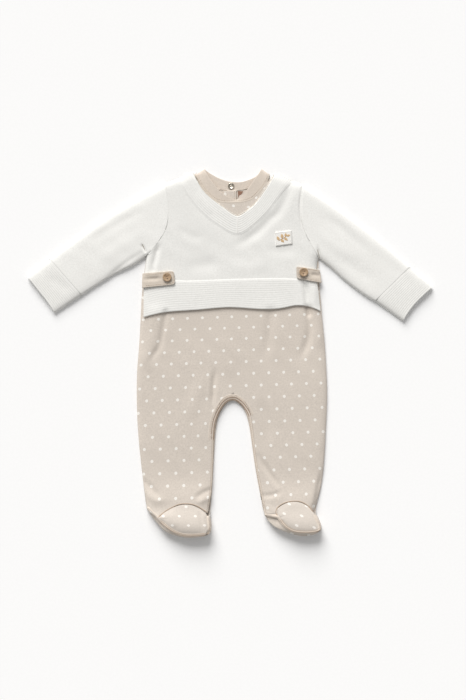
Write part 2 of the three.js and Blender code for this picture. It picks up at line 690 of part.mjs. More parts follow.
addPiece('overlay_front', new Cloth().wall(outerOf(overlayGrid), innerOf(overlayGrid)).geometry(), WHITE);

// Ribs: alternate rows or columns of the outer points stand up
const ribOf = (index) => (index % 2 === 1 ? RIB_RAISE : 0);

// Hem band with a free lower edge, ribbed along the body
const hemPatch = (u, v) => mixPoint(hemFree(u), hemTop(u), v);
const hemAcross = overlayAcross;
const hemOuter = steps(HEM_RIBS * 2).map((v, index) => hemAcross.map((u) => {
  const { outer } = onFront(hemPatch(u, v), OVERLAY_OUT + BAND_LIFT, RIB);
  outer.z += ribOf(index) + HEM_LIFT;
  return outer;
}));
const hemInner = steps(2).map((v) => hemAcross.map((u) => {
  const { inner } = onFront(hemPatch(u, v), OVERLAY_OUT + BAND_LIFT, RIB);
  inner.z += HEM_LIFT;
  return inner;
}));
addPiece('hem_band', new Cloth().wall(hemOuter, hemInner).geometry(), WHITE);

// Neck band of the pullover layer, ribbed along its length
const neckBandPatch = (u, v) => mixPoint(bandOuter(u), bandInner(u), v);
const neckOuter = steps(NECK_RIBS * 2).map((v, index) => neckAcross.map((u) => {
  const { outer } = onFront(neckBandPatch(u, v), OVERLAY_OUT + BAND_LIFT, RIB);
  outer.z += ribOf(index);
  return outer;
}));
const neckInner = steps(2).map((v) => neckAcross.map((u) => (
  onFront(neckBandPatch(u, v), OVERLAY_OUT + BAND_LIFT, RIB).inner
)));
addPiece('v_neck_band', new Cloth().wall(neckOuter, neckInner).geometry(), WHITE);

// A flattened tube over a patch: u runs across it from fold to fold
function tubeGrids(patch, us, vs, wall, rib = () => 0) {
  const ring = (v, index, key) => {
    const upper = us.map((u) => {
      const point = onFront(patch(u, v), OVERLAY_OUT, wall)[key].clone();
      const edge = fromEdge(point.x, point.y).signed;
      if (key === 'outer') point.z += rib(index) * smooth(edge, 2, 8);
      if (u === us[0] || u === us[us.length - 1]) point.z = SEAM_HEIGHT;
      return point;
    });
    const lower = us.slice(1, -1).reverse().map((u) => onBack(patch(u, v), wall)[key].clone());
    return [...upper, ...lower, upper[0].clone()];
  };
  return (key) => vs.map((v, index) => ring(v, index, key));
}

function addSleeve(side, top, under, armhole, cuffSeam, cuffEnd) {
  const isLeft = side === 'left';
  const upperEdge = along(top);
  const underEdge = along(under);
  const shareAt = (path, target) => {
    let best = 0;
    for (const t of steps(1000)) {
      const p = path(t);
      const q = path(best);
      if (Math.hypot(p.x - target.x, p.y - target.y) < Math.hypot(q.x - target.x, q.y - target.y)) best = t;
    }
    return best;
  };
  const seamTop = shareAt(upperEdge, cuffSeam[0]);
  const seamUnder = shareAt(underEdge, cuffSeam[cuffSeam.length - 1]);
  const bodyEnd = isLeft ? 1 : 0;
  const underBody = isLeft ? 0 : 1;
  const gapOut = isLeft ? SEAM_GAP / 2 + 0.05 : -SEAM_GAP / 2 - 0.05;
  const armholeLine = besideCurve(along(armhole), gapOut);
  const towardCuff = (path, from, to, gap) => {
    const a = path(from);
    const b = path(to);
    const length = Math.hypot(b.x - a.x, b.y - a.y);
    return part(path, from + ((to - from) * gap) / length, to + ((from - to) * gap) / length);
  };
  const alongTop = towardCuff(upperEdge, bodyEnd, seamTop, SEAM_GAP / 2);
  const alongUnder = towardCuff(underEdge, underBody, seamUnder, SEAM_GAP * 4);
  const armEnd = tied(armholeLine, alongTop(0), alongUnder(0));
  const seamEnd = tied(along(cuffSeam), alongTop(1), alongUnder(1));
  const sleevePatch = spanned(armEnd, seamEnd, alongTop, alongUnder);
  const sleeveRows = [0, 0.06, 0.14, 0.25, 0.38, 0.52, 0.68, 0.84, 1];
  const sleeve = tubeGrids(sleevePatch, SLEEVE_ACROSS, sleeveRows, KNIT);
  addTube(`sleeve_${side}`, sleeve('outer'), sleeve('inner'), isLeft);

  const cuffTop = towardCuff(upperEdge, seamTop, 1 - bodyEnd, SEAM_GAP / 2);
  const cuffUnder = towardCuff(underEdge, seamUnder, 1 - underBody, SEAM_GAP / 2);
  const cuffStart = tied(along(cuffSeam), cuffTop(0), cuffUnder(0));
  const cuffStop = tied(along(cuffEnd), cuffTop(1), cuffUnder(1));
  const cuffPatch = spanned(cuffStart, cuffStop, cuffTop, cuffUnder);
  const cuffAcross = acrossSteps(66, 3);
  const ribbed = tubeGrids(cuffPatch, cuffAcross, steps(CUFF_RIBS * 2), KNIT, ribOf);
  const plain = tubeGrids(cuffPatch, cuffAcross, steps(3), KNIT);
  addTube(`cuff_${side}`, ribbed('outer'), plain('inner'), isLeft);
}

function addTube(name, outer, inner, isLeft) {
  const mirrored = (grid) => grid.map((row) => [...row].reverse());
  const cloth = new Cloth();
  if (isLeft) cloth.wall(mirrored(outer), mirrored(inner), true);
  else cloth.wall(outer, inner, true);
  addPiece(name, cloth.geometry(), WHITE);
}

addSleeve('left', SLEEVE_TOP_LEFT, SLEEVE_UNDER_LEFT, ARMHOLE_LEFT, CUFF_SEAM_LEFT, CUFF_END_LEFT);
addSleeve('right', SLEEVE_TOP_RIGHT, SLEEVE_UNDER_RIGHT, ARMHOLE_RIGHT, CUFF_SEAM_RIGHT, CUFF_END_RIGHT);

// Neck band of the body: one closed ring, its front half over its back half
const ringCurve = (keys) => new THREE.CatmullRomCurve3(
  RING.map((row) => new THREE.Vector3(row[`${keys}X`], row[`${keys}Y`], row[`${keys}Z`])),
  true,
  'centripetal',
);
const ringSeam = ringCurve('seam');
const ringFree = ringCurve('free');
const RING_AROUND = RING.length * 2;
const ringPoint = (i, across) => {
  const t = (i % RING_AROUND) / RING_AROUND;
  return ringSeam.getPoint(t).lerp(ringFree.getPoint(t), across);
};
const ringSide = (offset) => steps(2).map((across) => steps(RING_AROUND).map((_, i) => {
  const ahead = ringPoint(i + 0.5, across).sub(ringPoint(i + RING_AROUND - 0.5, across));
  const up = ringPoint(i, 1).sub(ringPoint(i, 0));
  const normal = ahead.cross(up).normalize();
  return ringPoint(i, across).addScaledVector(normal, offset);
}));
const ringCloth = new Cloth().wall(ringSide(JERSEY / 2), ringSide(-JERSEY / 2), true);
addPiece('neckband', ringCloth.geometry(), BEIGE);

// A sheet on top of whatever lies below, given by its outline patch and its under face
function addSheet(name, patch, us, vs, color, low, thickness) {
  const lower = vs.map((v) => us.map((u) => {
    const p = patch(u, v);
    return new THREE.Vector3(p.x, p.y, low(p, u, v));
  }));
  const upper = lower.map((row, r) => row.map((p, c) => {
    const lift = typeof thickness === 'function' ? thickness(us[c], vs[r]) : thickness;
    return new THREE.Vector3(p.x, p.y, p.z + lift);
  }));
  addPiece(name, new Cloth().wall(upper, lower).geometry(), color);
}

const quad = (a, b, c, d) => spanned(straight(a, b), straight(d, c), straight(a, d), straight(b, c));

// Edge strip of the back opening, inside the neck
addSheet('back_placket', quad(...PLACKET), steps(3), steps(3), BEIGE, () => JERSEY + SEAM_GAP, JERSEY);

// Side tabs: each comes out of the side seam, over the edge and onto the pullover front
const tabOut = (v) => OVERLAY_OUT + mix(TAB_LOW_LIFT, TAB_HIGH_LIFT, v) + TAB_WALL;
function addTab(side, corners) {
  const patch = quad(...corners);
  const isLeft = side === 'left';
  const fine = isLeft ? [0, 0.03, 0.1, 0.24, 0.4, 0.6, 0.8, 1] : [0, 0.25, 0.45, 0.65, 0.8, 0.92, 0.97, 1];
  const stretch = (u) => (isLeft ? u : 1 - u);
  const grid = gridOf(patch, fine, steps(4), (p, u, v) => {
    const atSeam = 1 - smooth(stretch(u), 0, 0.3);
    const moved = { x: p.x + (isLeft ? -1 : 1) * TAB_END_REACH * atSeam, y: p.y };
    return onFront(moved, tabOut(v) + TAB_END_LIFT * atSeam, TAB_WALL);
  });
  addPiece(`tab_${side}`, new Cloth().wall(outerOf(grid), innerOf(grid)).geometry(), BEIGE);
}
addTab('left', TAB_LEFT);
addTab('right', TAB_RIGHT);

// Wooden buttons, each with a rim, a dished middle and four holes
function buttonGeometry() {
  const radius = BUTTON_DIAMETER / 2;
  const outline = new THREE.Shape().absarc(0, 0, radius, 0, Math.PI * 2);
  for (const [sx, sy] of [[1, 1], [1, -1], [-1, 1], [-1, -1]]) {
    const hole = new THREE.Path();
    const at = { x: sx * BUTTON_HOLE_SPREAD, y: sy * BUTTON_HOLE_SPREAD };
    hole.absarc(at.x, at.y, BUTTON_HOLE / 2 + 0.1, 0, Math.PI * 2, true);
    outline.holes.push(hole);
  }
  const disc = new THREE.ExtrudeGeometry(outline, {
    depth: BUTTON_THICKNESS, bevelEnabled: false, curveSegments: 10,
  });
  disc.deleteAttribute('normal');
  disc.deleteAttribute('uv');
  return mergeVertices(disc, 1e-3);
}
for (const button of BUTTONS) {
  const mesh = addPiece(`button_${button.side}`, buttonGeometry(), WOOD, 0.5);
  const top = onFront(button, tabOut(0.4), TAB_WALL).outer.z;
  mesh.position.set(button.x, button.y, top + SEAM_GAP);
  mesh.rotation.z = button.turn;
}

// Ring snap on the inner face of the back neck band
const snapProfile = rows(['r', 'z'], [
  [2.2, 0], [4.5, 0], [4.5, 0.5], [3.9, SNAP_HEIGHT], [3.1, SNAP_HEIGHT], [2.2, 0.6], [2.2, 0],
]).map((row) => new THREE.Vector2((row.r * SNAP_DIAMETER) / 9, row.z));
const snapRing = new THREE.LatheGeometry(snapProfile, 20);
snapRing.rotateX(Math.PI / 2);
snapRing.deleteAttribute('normal');
snapRing.deleteAttribute('uv');
const snapMesh = addPiece('neck_snap', mergeVertices(snapRing, 1e-3), METAL, 0.35, 1);
snapMesh.position.set(SNAP_AT.x, SNAP_AT.y, SNAP_AT.z);

// Woven patch sewn on the chest
const overOverlay = (p) => onFront(p, OVERLAY_OUT, KNIT).outer.z + SEAM_GAP + 0.1;
addSheet('chest_patch', quad(...PATCH), steps(2), steps(2), PATCH_CREAM, overOverlay, PATCH_THICKNESS);

// Snap bands along both inner legs and round the crotch, the front one over the back one
const inseamLine = along(INSEAM);
const frontRun = frontOutline.bandRun(FRONT_LEG_STEPS);
const backRun = backOutline.bandRun(BACK_LEG_STEPS);
const frontBandPatch = (u, v) => besideCurve(inseamLine, mix(bandWidth(u), FRONT_BAND_INSET, v))(u);
const frontBand = [0, 0.5, 1].map((v) => frontRun.map((u) => onFront(frontBandPatch(u, v), 0, JERSEY)));
addPiece('leg_band_front', new Cloth().wall(outerOf(frontBand), innerOf(frontBand)).geometry(), BEIGE);
const backBandPatch = (u, v) => besideCurve(inseamLine, mix(bandWidth(u), 0, v))(u);
const backBand = [0, 0.5, 1].map((v) => backRun.map((u) => onBack(backBandPatch(u, v), JERSEY)));
addPiece('leg_band_back', new Cloth().wall(innerOf(backBand), outerOf(backBand)).geometry(), BEIGE);

// A wall whose inner face is the outer one moved along its normals; the first rows may lie flat
function thickened(grid, wall, flatRows = -1) {
  const isUnder = flatRows >= 0;
  const inner = grid.map((row, r) => row.map((p, c) => {
    const dv = grid[Math.min(r + 1, grid.length - 1)][c].clone().sub(grid[Math.max(r - 1, 0)][c]);
    const du = row[Math.min(c + 1, row.length - 1)].clone().sub(row[Math.max(c - 1, 0)]);
    const normal = isUnder && r <= flatRows ? new THREE.Vector3(0, 0, -1) : du.cross(dv).normalize();
    return p.clone().addScaledVector(normal, -wall);
  }));
  return new Cloth().wall(grid, inner);
}

// Feet: a domed upper and a sole whose wall turns up from a flat underside
function addFoot(side, foot, ankle, legAcross) {
  const back = (t) => besideCurve(part(ankle, ANKLE_TIP, 1), SEAM_GAP + 0.1)(t);
  const shares = legAcross.filter((u) => u >= ANKLE_TIP - 1e-9).map((u) => (u - ANKLE_TIP) / (1 - ANKLE_TIP));
  const frontEdge = along(foot.front);
  const upperPatch = (u, v) => mixPoint(frontEdge(u), back(u), v);
  const seamHeight = (u) => SOLE_RIM + SEAM_ARCH * Math.sin(Math.PI * u);
  const upper = gridOf(upperPatch, shares, steps(8), (p, u, v) => {
    const rear = onFront(back(u), 0, JERSEY).outer.z + 0.1;
    const dome = FOOT_PUFF * Math.sin(Math.PI * v) ** 0.8 * Math.sin(Math.PI * mix(0.08, 0.94, u));
    return new THREE.Vector3(p.x, p.y, mix(seamHeight(u), rear, smooth(v, 0, 1)) + dome);
  });
  addPiece(`foot_upper_${side}`, thickened(upper, JERSEY).geometry(), BEIGE);

  const outline = along(foot.outline);
  const heel = { x: outline(0).x + HEEL_INSET, y: outline(0).y };
  const inner = { x: outline(1).x - HEEL_INSET, y: outline(1).y };
  const rear = straight(heel, inner);
  const rim = (u) => mix(SOLE_HEEL_RIM, SOLE_RIM - 1.7, smooth(u, 0.05, 0.22) * (1 - smooth(u, 0.8, 0.97)));
  const soleAt = (u, v) => {
    const edge = outline(u);
    const inside = rear(u);
    const length = Math.hypot(edge.x - inside.x, edge.y - inside.y) + 0.01;
    const roll = Math.min(6, length * 0.8);
    const inFrom = (distance) => mixPoint(edge, inside, Math.min(1, distance / length));
    const stage = [
      { p: inside, z: 0 },
      { p: inFrom(mix(length, roll, 0.5)), z: 0 },
      { p: inFrom(roll), z: 0 },
      { p: inFrom(roll * 0.3), z: rim(u) * 0.2 },
      { p: edge, z: rim(u) * 0.6 },
      { p: inFrom(roll * 0.15), z: rim(u) },
    ][v];
    return new THREE.Vector3(stage.p.x, stage.p.y, stage.z);
  };
  const sole = [0, 1, 2, 3, 4, 5].map((v) => steps(SOLE_COLUMNS).map((u) => soleAt(u, v)));
  addPiece(`foot_sole_${side}`, thickened(sole, SOLE_WALL, 2).geometry(), BEIGE);
}

addFoot('left', FOOT_LEFT, frontOutline.ankleLeft, HALF_FRONT);
addFoot('right', FOOT_RIGHT, frontOutline.ankleRight, HALF_FRONT.map((u) => 1 - u).reverse());

export default romper;
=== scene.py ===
"""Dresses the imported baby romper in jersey, rib, thread, wood and metal, laid flat as for a shop picture."""

import logging
import math
from dataclasses import dataclass, field
from enum import Enum
from typing import Callable, Optional, Sequence

import bmesh
import bpy
import numpy as np
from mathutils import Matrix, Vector
from mathutils.bvhtree import BVHTree


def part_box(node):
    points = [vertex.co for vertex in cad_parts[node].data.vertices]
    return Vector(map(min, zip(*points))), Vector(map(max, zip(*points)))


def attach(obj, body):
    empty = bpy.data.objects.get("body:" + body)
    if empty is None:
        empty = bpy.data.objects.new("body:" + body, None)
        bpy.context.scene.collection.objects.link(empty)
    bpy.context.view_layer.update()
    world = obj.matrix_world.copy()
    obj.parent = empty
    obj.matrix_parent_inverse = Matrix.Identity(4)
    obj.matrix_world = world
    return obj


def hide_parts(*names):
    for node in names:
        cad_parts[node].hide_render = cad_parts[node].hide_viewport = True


MM = 0.001
SHARP_TURN = math.radians(52)
CUT_EDGE = 2.3 * MM
log = logging.getLogger("romper")

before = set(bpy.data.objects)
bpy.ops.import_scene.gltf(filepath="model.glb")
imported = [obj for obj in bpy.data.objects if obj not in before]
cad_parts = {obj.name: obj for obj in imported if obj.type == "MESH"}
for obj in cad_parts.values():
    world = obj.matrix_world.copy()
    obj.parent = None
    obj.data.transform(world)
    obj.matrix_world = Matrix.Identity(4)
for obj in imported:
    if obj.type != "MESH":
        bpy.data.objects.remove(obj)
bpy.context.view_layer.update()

Point = tuple[float, float]
Colour = tuple[float, float, float]


def linear(colour: Colour) -> tuple[float, float, float, float]:
    """Turns a colour picked on screen (0 to 255) into the shader's linear one.

    Args:
        colour: red, green and blue, each 0 to 255.

    Returns:
        Linear red, green, blue and an alpha of 1.
    """
    parts = []
    for value in colour:
        share = value / 255
        parts.append(share / 12.92 if share <= 0.04045 else ((share + 0.055) / 1.055) ** 2.4)
    return (parts[0], parts[1], parts[2], 1.0)


def ramp(value: np.ndarray, start: float, stop: float) -> np.ndarray:
    """Soft step from 0 at start to 1 at stop.

    Args:
        value: where to read the step.
        start: value at which it leaves 0.
        stop: value at which it reaches 1.

    Returns:
        The step's height at each value.
    """
    t = np.clip((value - start) / (stop - start), 0, 1)
    return t * t * (3 - 2 * t)


# ---------------------------------------------------------------- lines on the cloth


@dataclass(frozen=True)
class Line:
    """A smooth line on the cloth through a few points, in millimetres."""

    points: tuple[Point, ...]

    def sampled(self, pitch: float) -> np.ndarray:
        """Points along the line at an even pitch.

        Args:
            pitch: distance between points in millimetres.

        Returns:
            An array of x and y, one row for each point.
        """
        knots = np.array(self.points, float)
        if len(knots) == 2:
            dense = np.linspace(knots[0], knots[1], 60)
        else:
            ends = np.vstack([2 * knots[0] - knots[1], knots, 2 * knots[-1] - knots[-2]])
            dense_parts = []
            for i in range(1, len(ends) - 2):
                a, b, c, d = ends[i - 1 : i + 3]
                t = np.linspace(0, 1, 24, endpoint=False)[:, None]
                dense_parts.append(
                    0.5
                    * (
                        2 * b
                        + (c - a) * t
                        + (2 * a - 5 * b + 4 * c - d) * t**2
                        + (3 * b - a - 3 * c + d) * t**3
                    )
                )
            dense = np.vstack([*dense_parts, knots[-1:]])
        steps = np.r_[0, np.cumsum(np.linalg.norm(np.diff(dense, axis=0), axis=1))]
        count = max(2, int(round(steps[-1] / pitch)) + 1)
        at = np.linspace(0, steps[-1], count)
        return np.column_stack([np.interp(at, steps, dense[:, 0]), np.interp(at, steps, dense[:, 1])])

    def beside(self, distance: float) -> "Line":
        """The line moved to its right by a distance in millimetres.

        Args:
            distance: how far, negative for the left.

        Returns:
            The moved line.
        """
        run = self.sampled(6.0)
        ahead = np.gradient(run, axis=0)
        ahead /= np.linalg.norm(ahead, axis=1)[:, None]
        moved = run + np.column_stack([ahead[:, 1], -ahead[:, 0]]) * distance
        return Line(tuple((float(x), float(y)) for x, y in moved))


# ---------------------------------------------------------------- folds


@dataclass(frozen=True)
class Fold:
    """One listed crease or ridge: it lifts or sinks every layer of cloth along its path.

    Attributes:
        path: points of its crest in millimetres.
        width: half its breadth in millimetres.
        rise: height of the crest in millimetres, below zero for a trough.
        ends: share of the rise left at the first and the last point.
        flank: how far the cloth beside it turns the other way.
        lean: how much steeper its right hand side is.
    """

    path: tuple[Point, ...]
    width: float
    rise: float
    ends: tuple[float, float] = (0.0, 0.0)
    flank: float = 0.6
    lean: float = 0.0

    def lift(self, at: np.ndarray) -> np.ndarray:
        """Height that the fold adds at points of the cloth.

        Args:
            at: x and y in millimetres, one row for each point.

        Returns:
            The added height in millimetres.
        """
        run = Line(self.path).sampled(2.5)
        low = run.min(0) - 4 * self.width
        high = run.max(0) + 4 * self.width
        near = np.all((at > low) & (at < high), axis=1)
        result = np.zeros(len(at))
        if not near.any():
            return result
        points = at[near]
        best = np.full(len(points), 1e9)
        side = np.zeros(len(points))
        where = np.zeros(len(points))
        for i in range(len(run) - 1):
            a, step = run[i], run[i + 1] - run[i]
            t = np.clip(((points - a) @ step) / (step @ step), 0, 1)
            off = points - a - t[:, None] * step
            distance = np.hypot(off[:, 0], off[:, 1])
            closer = distance < best
            best = np.where(closer, distance, best)
            cross = off[:, 0] * step[1] - off[:, 1] * step[0]
            side = np.where(closer, np.sign(cross) * distance, side)
            where = np.where(closer, (i + t) / (len(run) - 1), where)
        taper = self.ends[0] + (1 - self.ends[0]) * ramp(where, 0.0, 0.35)
        taper = taper * (self.ends[1] + (1 - self.ends[1]) * (1 - ramp(where, 0.65, 1.0)))
        across = best / self.width
        shape = np.exp(-(across**2)) * (1 - self.flank * across**2)
        shape = shape * (1 + self.lean * np.tanh(side / self.width))
        result[near] = self.rise * taper * shape
        return result


@dataclass
class Drape:
    """All folds of the garment, and the soft unevenness of cloth between them."""

    folds: Sequence[Fold]
    ripple: float = 0.2
    still_below: float = 1.7
    free_above: float = 3.4
    toe_lift: float = 9.0
    toes: tuple[float, float] = (214.0, 250.0)

    def lift(self, at: np.ndarray) -> np.ndarray:
        """Added height of the top layers.

        Args:
            at: x and y in millimetres, one row for each point.

        Returns:
            The added height in millimetres.
        """
        total = np.zeros(len(at))
        for fold in self.folds:
            total += fold.lift(at)
        x, y = at[:, 0], at[:, 1]
        bent = x + 9 * np.sin(y / 31 + 0.6)
        total += self.ripple * np.sin(bent / 11.3 + y / 37)
        total += self.ripple * 0.8 * np.sin(y / 14.7 - bent / 43 + 1.1)
        total += self.ripple * 0.5 * np.sin((x + y) / 7.9 + 2.1 * np.sin(y / 23))
        return total

    def settle(self, mesh: bpy.types.Mesh, share: float = 1.0) -> None:
        """Moves a mesh's upper layers up and down with the folds, and lifts the toes off the floor.

        Args:
            mesh: the cloth's mesh, in metres.
            share: how much of the folds it takes.
        """
        count = len(mesh.vertices)
        where = np.empty(count * 3)
        mesh.vertices.foreach_get("co", where)
        where = where.reshape(-1, 3) / MM
        free = ramp(where[:, 2], self.still_below, self.free_above)
        where[:, 2] += share * free * self.lift(where[:, :2])
        where[:, 2] += self.toe_lift * ramp(-where[:, 1], *self.toes)
        where[:, 2] = np.maximum(where[:, 2], 0.0)
        mesh.vertices.foreach_set("co", (where * MM).ravel())
        mesh.update()


# ---------------------------------------------------------------- finishes


class Board:
    """A material's node tree, with short ways to add its nodes."""

    def __init__(self, name: str) -> None:
        """Starts a material with one shader.

        Args:
            name: the material's name.
        """
        self.material = bpy.data.materials.new(name)
        self.material.use_nodes = True
        self.tree = self.material.node_tree
        self.tree.nodes.clear()
        self.shader = self.tree.nodes.new("ShaderNodeBsdfPrincipled")
        output = self.tree.nodes.new("ShaderNodeOutputMaterial")
        self.tree.links.new(self.shader.outputs[0], output.inputs[0])

    def put(self, socket: bpy.types.NodeSocket, value: object) -> None:
        """Links a socket to another one, or sets its value.

        Args:
            socket: the input to fill.
            value: an output socket, a number, or a colour.
        """
        if isinstance(value, bpy.types.NodeSocket):
            self.tree.links.new(value, socket)
        else:
            socket.default_value = value

    def sum(self, operation: str, first: object, second: object = 0.0) -> bpy.types.NodeSocket:
        """One step of arithmetic.

        Args:
            operation: the Math node's operation.
            first: a socket or a number.
            second: a socket or a number.

        Returns:
            The result's socket.
        """
        node = self.tree.nodes.new("ShaderNodeMath")
        node.operation = operation
        self.put(node.inputs[0], first)
        self.put(node.inputs[1], second)
        return node.outputs[0]

    def laid_map(self, layer: str) -> tuple[bpy.types.NodeSocket, bpy.types.NodeSocket]:
        """The two coordinates of a map laid on the mesh.

        Args:
            layer: the map's name.

        Returns:
            Sockets of its first and second coordinate.
        """
        laid = self.tree.nodes.new("ShaderNodeUVMap")
        laid.uv_map = layer
        parts = self.tree.nodes.new("ShaderNodeSeparateXYZ")
        self.tree.links.new(laid.outputs[0], parts.inputs[0])
        return parts.outputs[0], parts.outputs[1]

    def noise(self, scale: float, stretch: tuple[float, float, float] = (1, 1, 1), detail: float = 2) -> bpy.types.NodeSocket:
        """Uneven values in space, fixed to the object.

        Args:
            scale: how many lumps to the metre.
            stretch: scale along each axis.
            detail: how many finer layers it has.

        Returns:
            The noise's value, about 0.5 in the middle.
        """
        where = self.tree.nodes.new("ShaderNodeTexCoord")
        place = self.tree.nodes.new("ShaderNodeMapping")
        place.inputs["Scale"].default_value = stretch
        self.tree.links.new(where.outputs["Object"], place.inputs["Vector"])
        lumps = self.tree.nodes.new("ShaderNodeTexNoise")
        lumps.inputs["Scale"].default_value = scale
        lumps.inputs["Detail"].default_value = detail
        self.tree.links.new(place.outputs[0], lumps.inputs["Vector"])
        return lumps.outputs["Fac"]

    def blend(self, share: object, first: object, second: object, how: str = "MIX") -> bpy.types.NodeSocket:
        """Mixes two colours.

        Args:
            share: how much of the second.
            first: a colour or its socket.
            second: a colour or its socket.
            how: the Mix node's blend type.

        Returns:
            The mixed colour's socket.
        """
        node = self.tree.nodes.new("ShaderNodeMix")
        node.data_type = "RGBA"
        node.blend_type = how
        self.put(node.inputs[0], share)
        self.put(node.inputs[6], first)
        self.put(node.inputs[7], second)
        return node.outputs[2]

    def spread(self, value: bpy.types.NodeSocket, low: float, high: float) -> bpy.types.NodeSocket:
        """Stretches noise from around its middle to a range.

        Args:
            value: a noise's socket.
            low: result where the noise is 0.3.
            high: result where the noise is 0.7.

        Returns:
            The stretched value's socket.
        """
        node = self.tree.nodes.new("ShaderNodeMapRange")
        node.inputs["From Min"].default_value = 0.3
        node.inputs["From Max"].default_value = 0.7
        node.inputs["To Min"].default_value = low
        node.inputs["To Max"].default_value = high
        self.tree.links.new(value, node.inputs["Value"])
        return node.outputs[0]

    def relief(self, height: bpy.types.NodeSocket, strength: float, depth: float) -> None:
        """Raises the surface's fine relief.

        Args:
            height: socket of the relief's height, 0 to 1.
            strength: how much of it shows.
            depth: its full depth in metres.
        """
        bump = self.tree.nodes.new("ShaderNodeBump")
        bump.inputs["Strength"].default_value = strength
        bump.inputs["Distance"].default_value = depth
        self.tree.links.new(height, bump.inputs["Height"])
        self.tree.links.new(bump.outputs[0], self.shader.inputs["Normal"])


@dataclass(frozen=True)
class JerseyFinish:
    """Knitted cotton: fine wales in relief, mottled by its yarn, with dots where it is printed.

    Attributes:
        name: the material's name.
        colour: the cloth's own colour as seen on screen.
        shade: how much darker its darkest yarns are, as a share.
        wale: distance from wale to wale in millimetres.
        course: distance from course to course in millimetres.
        mottle: size of the mottled patches, to the metre.
        dots: colour of the printed dots, if it has them.
        dot_size: their diameter in millimetres.
        sheen: how much soft bloom its nap has.
    """

    name: str
    colour: Colour
    shade: float = 0.05
    wale: float = 1.25
    course: float = 0.95
    mottle: float = 420.0
    dots: Optional[Colour] = None
    dot_size: float = 4.1
    sheen: float = 0.12

    def material(self) -> bpy.types.Material:
        """Builds the cloth's material.

        Returns:
            The material.
        """
        board = Board(self.name)
        base = linear(self.colour)
        yarn = board.noise(self.mottle, (1.0, 1.0, 1.0), 3)
        broad = board.noise(26.0, (1.0, 0.7, 1.0), 2)
        dark = tuple(channel * (1 - self.shade) for channel in base[:3]) + (1.0,)
        light = tuple(min(1.0, channel * (1 + 0.35 * self.shade)) for channel in base[:3]) + (1.0,)
        colour = board.blend(board.spread(yarn, 0.0, 1.0), dark, light)
        tint = tuple(channel * (1 - 0.5 * self.shade) for channel in base[:3]) + (1.0,)
        colour = board.blend(board.spread(broad, 0.0, 0.45), colour, tint)
        across, along = board.laid_map("grain")
        wales = board.sum("MULTIPLY", across, math.pi / self.wale)
        ridge = board.sum("ABSOLUTE", board.sum("SINE", wales))
        slant = board.sum("MULTIPLY", ridge, 1.6)
        loops = board.sum("ADD", board.sum("MULTIPLY", along, 2 * math.pi / self.course), slant)
        loop = board.sum("MULTIPLY_ADD", board.sum("SINE", loops), 0.5)
        loop.node.inputs[2].default_value = 0.5
        height = board.sum("MULTIPLY", ridge, board.sum("ADD", board.sum("MULTIPLY", loop, 0.5), 0.5))
        fuzz = board.sum("MULTIPLY", board.noise(1500.0, (1, 1, 1), 1), 0.35)
        height = board.sum("ADD", height, fuzz)
        if self.dots is not None:
            colour = board.blend(self.dot_mask(board), colour, linear(self.dots))
        board.put(board.shader.inputs["Base Color"], colour)
        board.shader.inputs["Roughness"].default_value = 0.93
        board.shader.inputs["Specular IOR Level"].default_value = 0.22
        board.shader.inputs["Sheen Weight"].default_value = self.sheen
        board.shader.inputs["Sheen Roughness"].default_value = 0.5
        board.relief(height, 0.5, 0.00022)
        return board.material

    def dot_mask(self, board: Board) -> bpy.types.NodeSocket:
        """Where the printed dots are, on the map that counts them in columns and rows.

        Args:
            board: the material to add the nodes to.

        Returns:
            Socket that is 1 on a dot and 0 beside it.
        """
        column, row = board.laid_map("print")
        nearest_row = board.sum("ROUND", row)
        odd = board.sum("ABSOLUTE", board.sum("MODULO", nearest_row, 2.0))
        shifted = board.sum("ADD", column, board.sum("MULTIPLY", odd, 0.5))
        off_column = board.sum("SUBTRACT", shifted, board.sum("ROUND", shifted))
        off_row = board.sum("SUBTRACT", row, nearest_row)
        across = board.sum("MULTIPLY", off_column, DOT_COLUMN)
        along = board.sum("MULTIPLY", off_row, DOT_ROW)
        squares = board.sum("ADD", board.sum("POWER", board.sum("ABSOLUTE", across), 2.0), board.sum("POWER", board.sum("ABSOLUTE", along), 2.0))
        wobble = board.sum("MULTIPLY", board.sum("SUBTRACT", board.noise(900.0, (1, 1, 1), 1), 0.5), 0.5)
        distance = board.sum("ADD", board.sum("SQRT", squares), wobble)
        edge = board.tree.nodes.new("ShaderNodeMapRange")
        edge.interpolation_type = "SMOOTHSTEP"
        edge.inputs["From Min"].default_value = self.dot_size / 2 + 0.25
        edge.inputs["From Max"].default_value = self.dot_size / 2 - 0.25
        board.tree.links.new(distance, edge.inputs["Value"])
        return edge.outputs[0]


@dataclass(frozen=True)
class ThreadFinish:
    """Twisted sewing thread."""

    name: str
    colour: Colour

    def material(self) -> bpy.types.Material:
        """Builds the thread's material.

        Returns:
            The material.
        """
        board = Board(self.name)
        base = linear(self.colour)
        dark = tuple(channel * 0.86 for channel in base[:3]) + (1.0,)
        twist = board.noise(2600.0, (1.0, 1.0, 1.0), 1)
        board.put(board.shader.inputs["Base Color"], board.blend(board.spread(twist, 0, 1), dark, base))
        board.shader.inputs["Roughness"].default_value = 0.7
        board.shader.inputs["Sheen Weight"].default_value = 0.2
        board.relief(twist, 0.4, 0.0001)
        return board.material


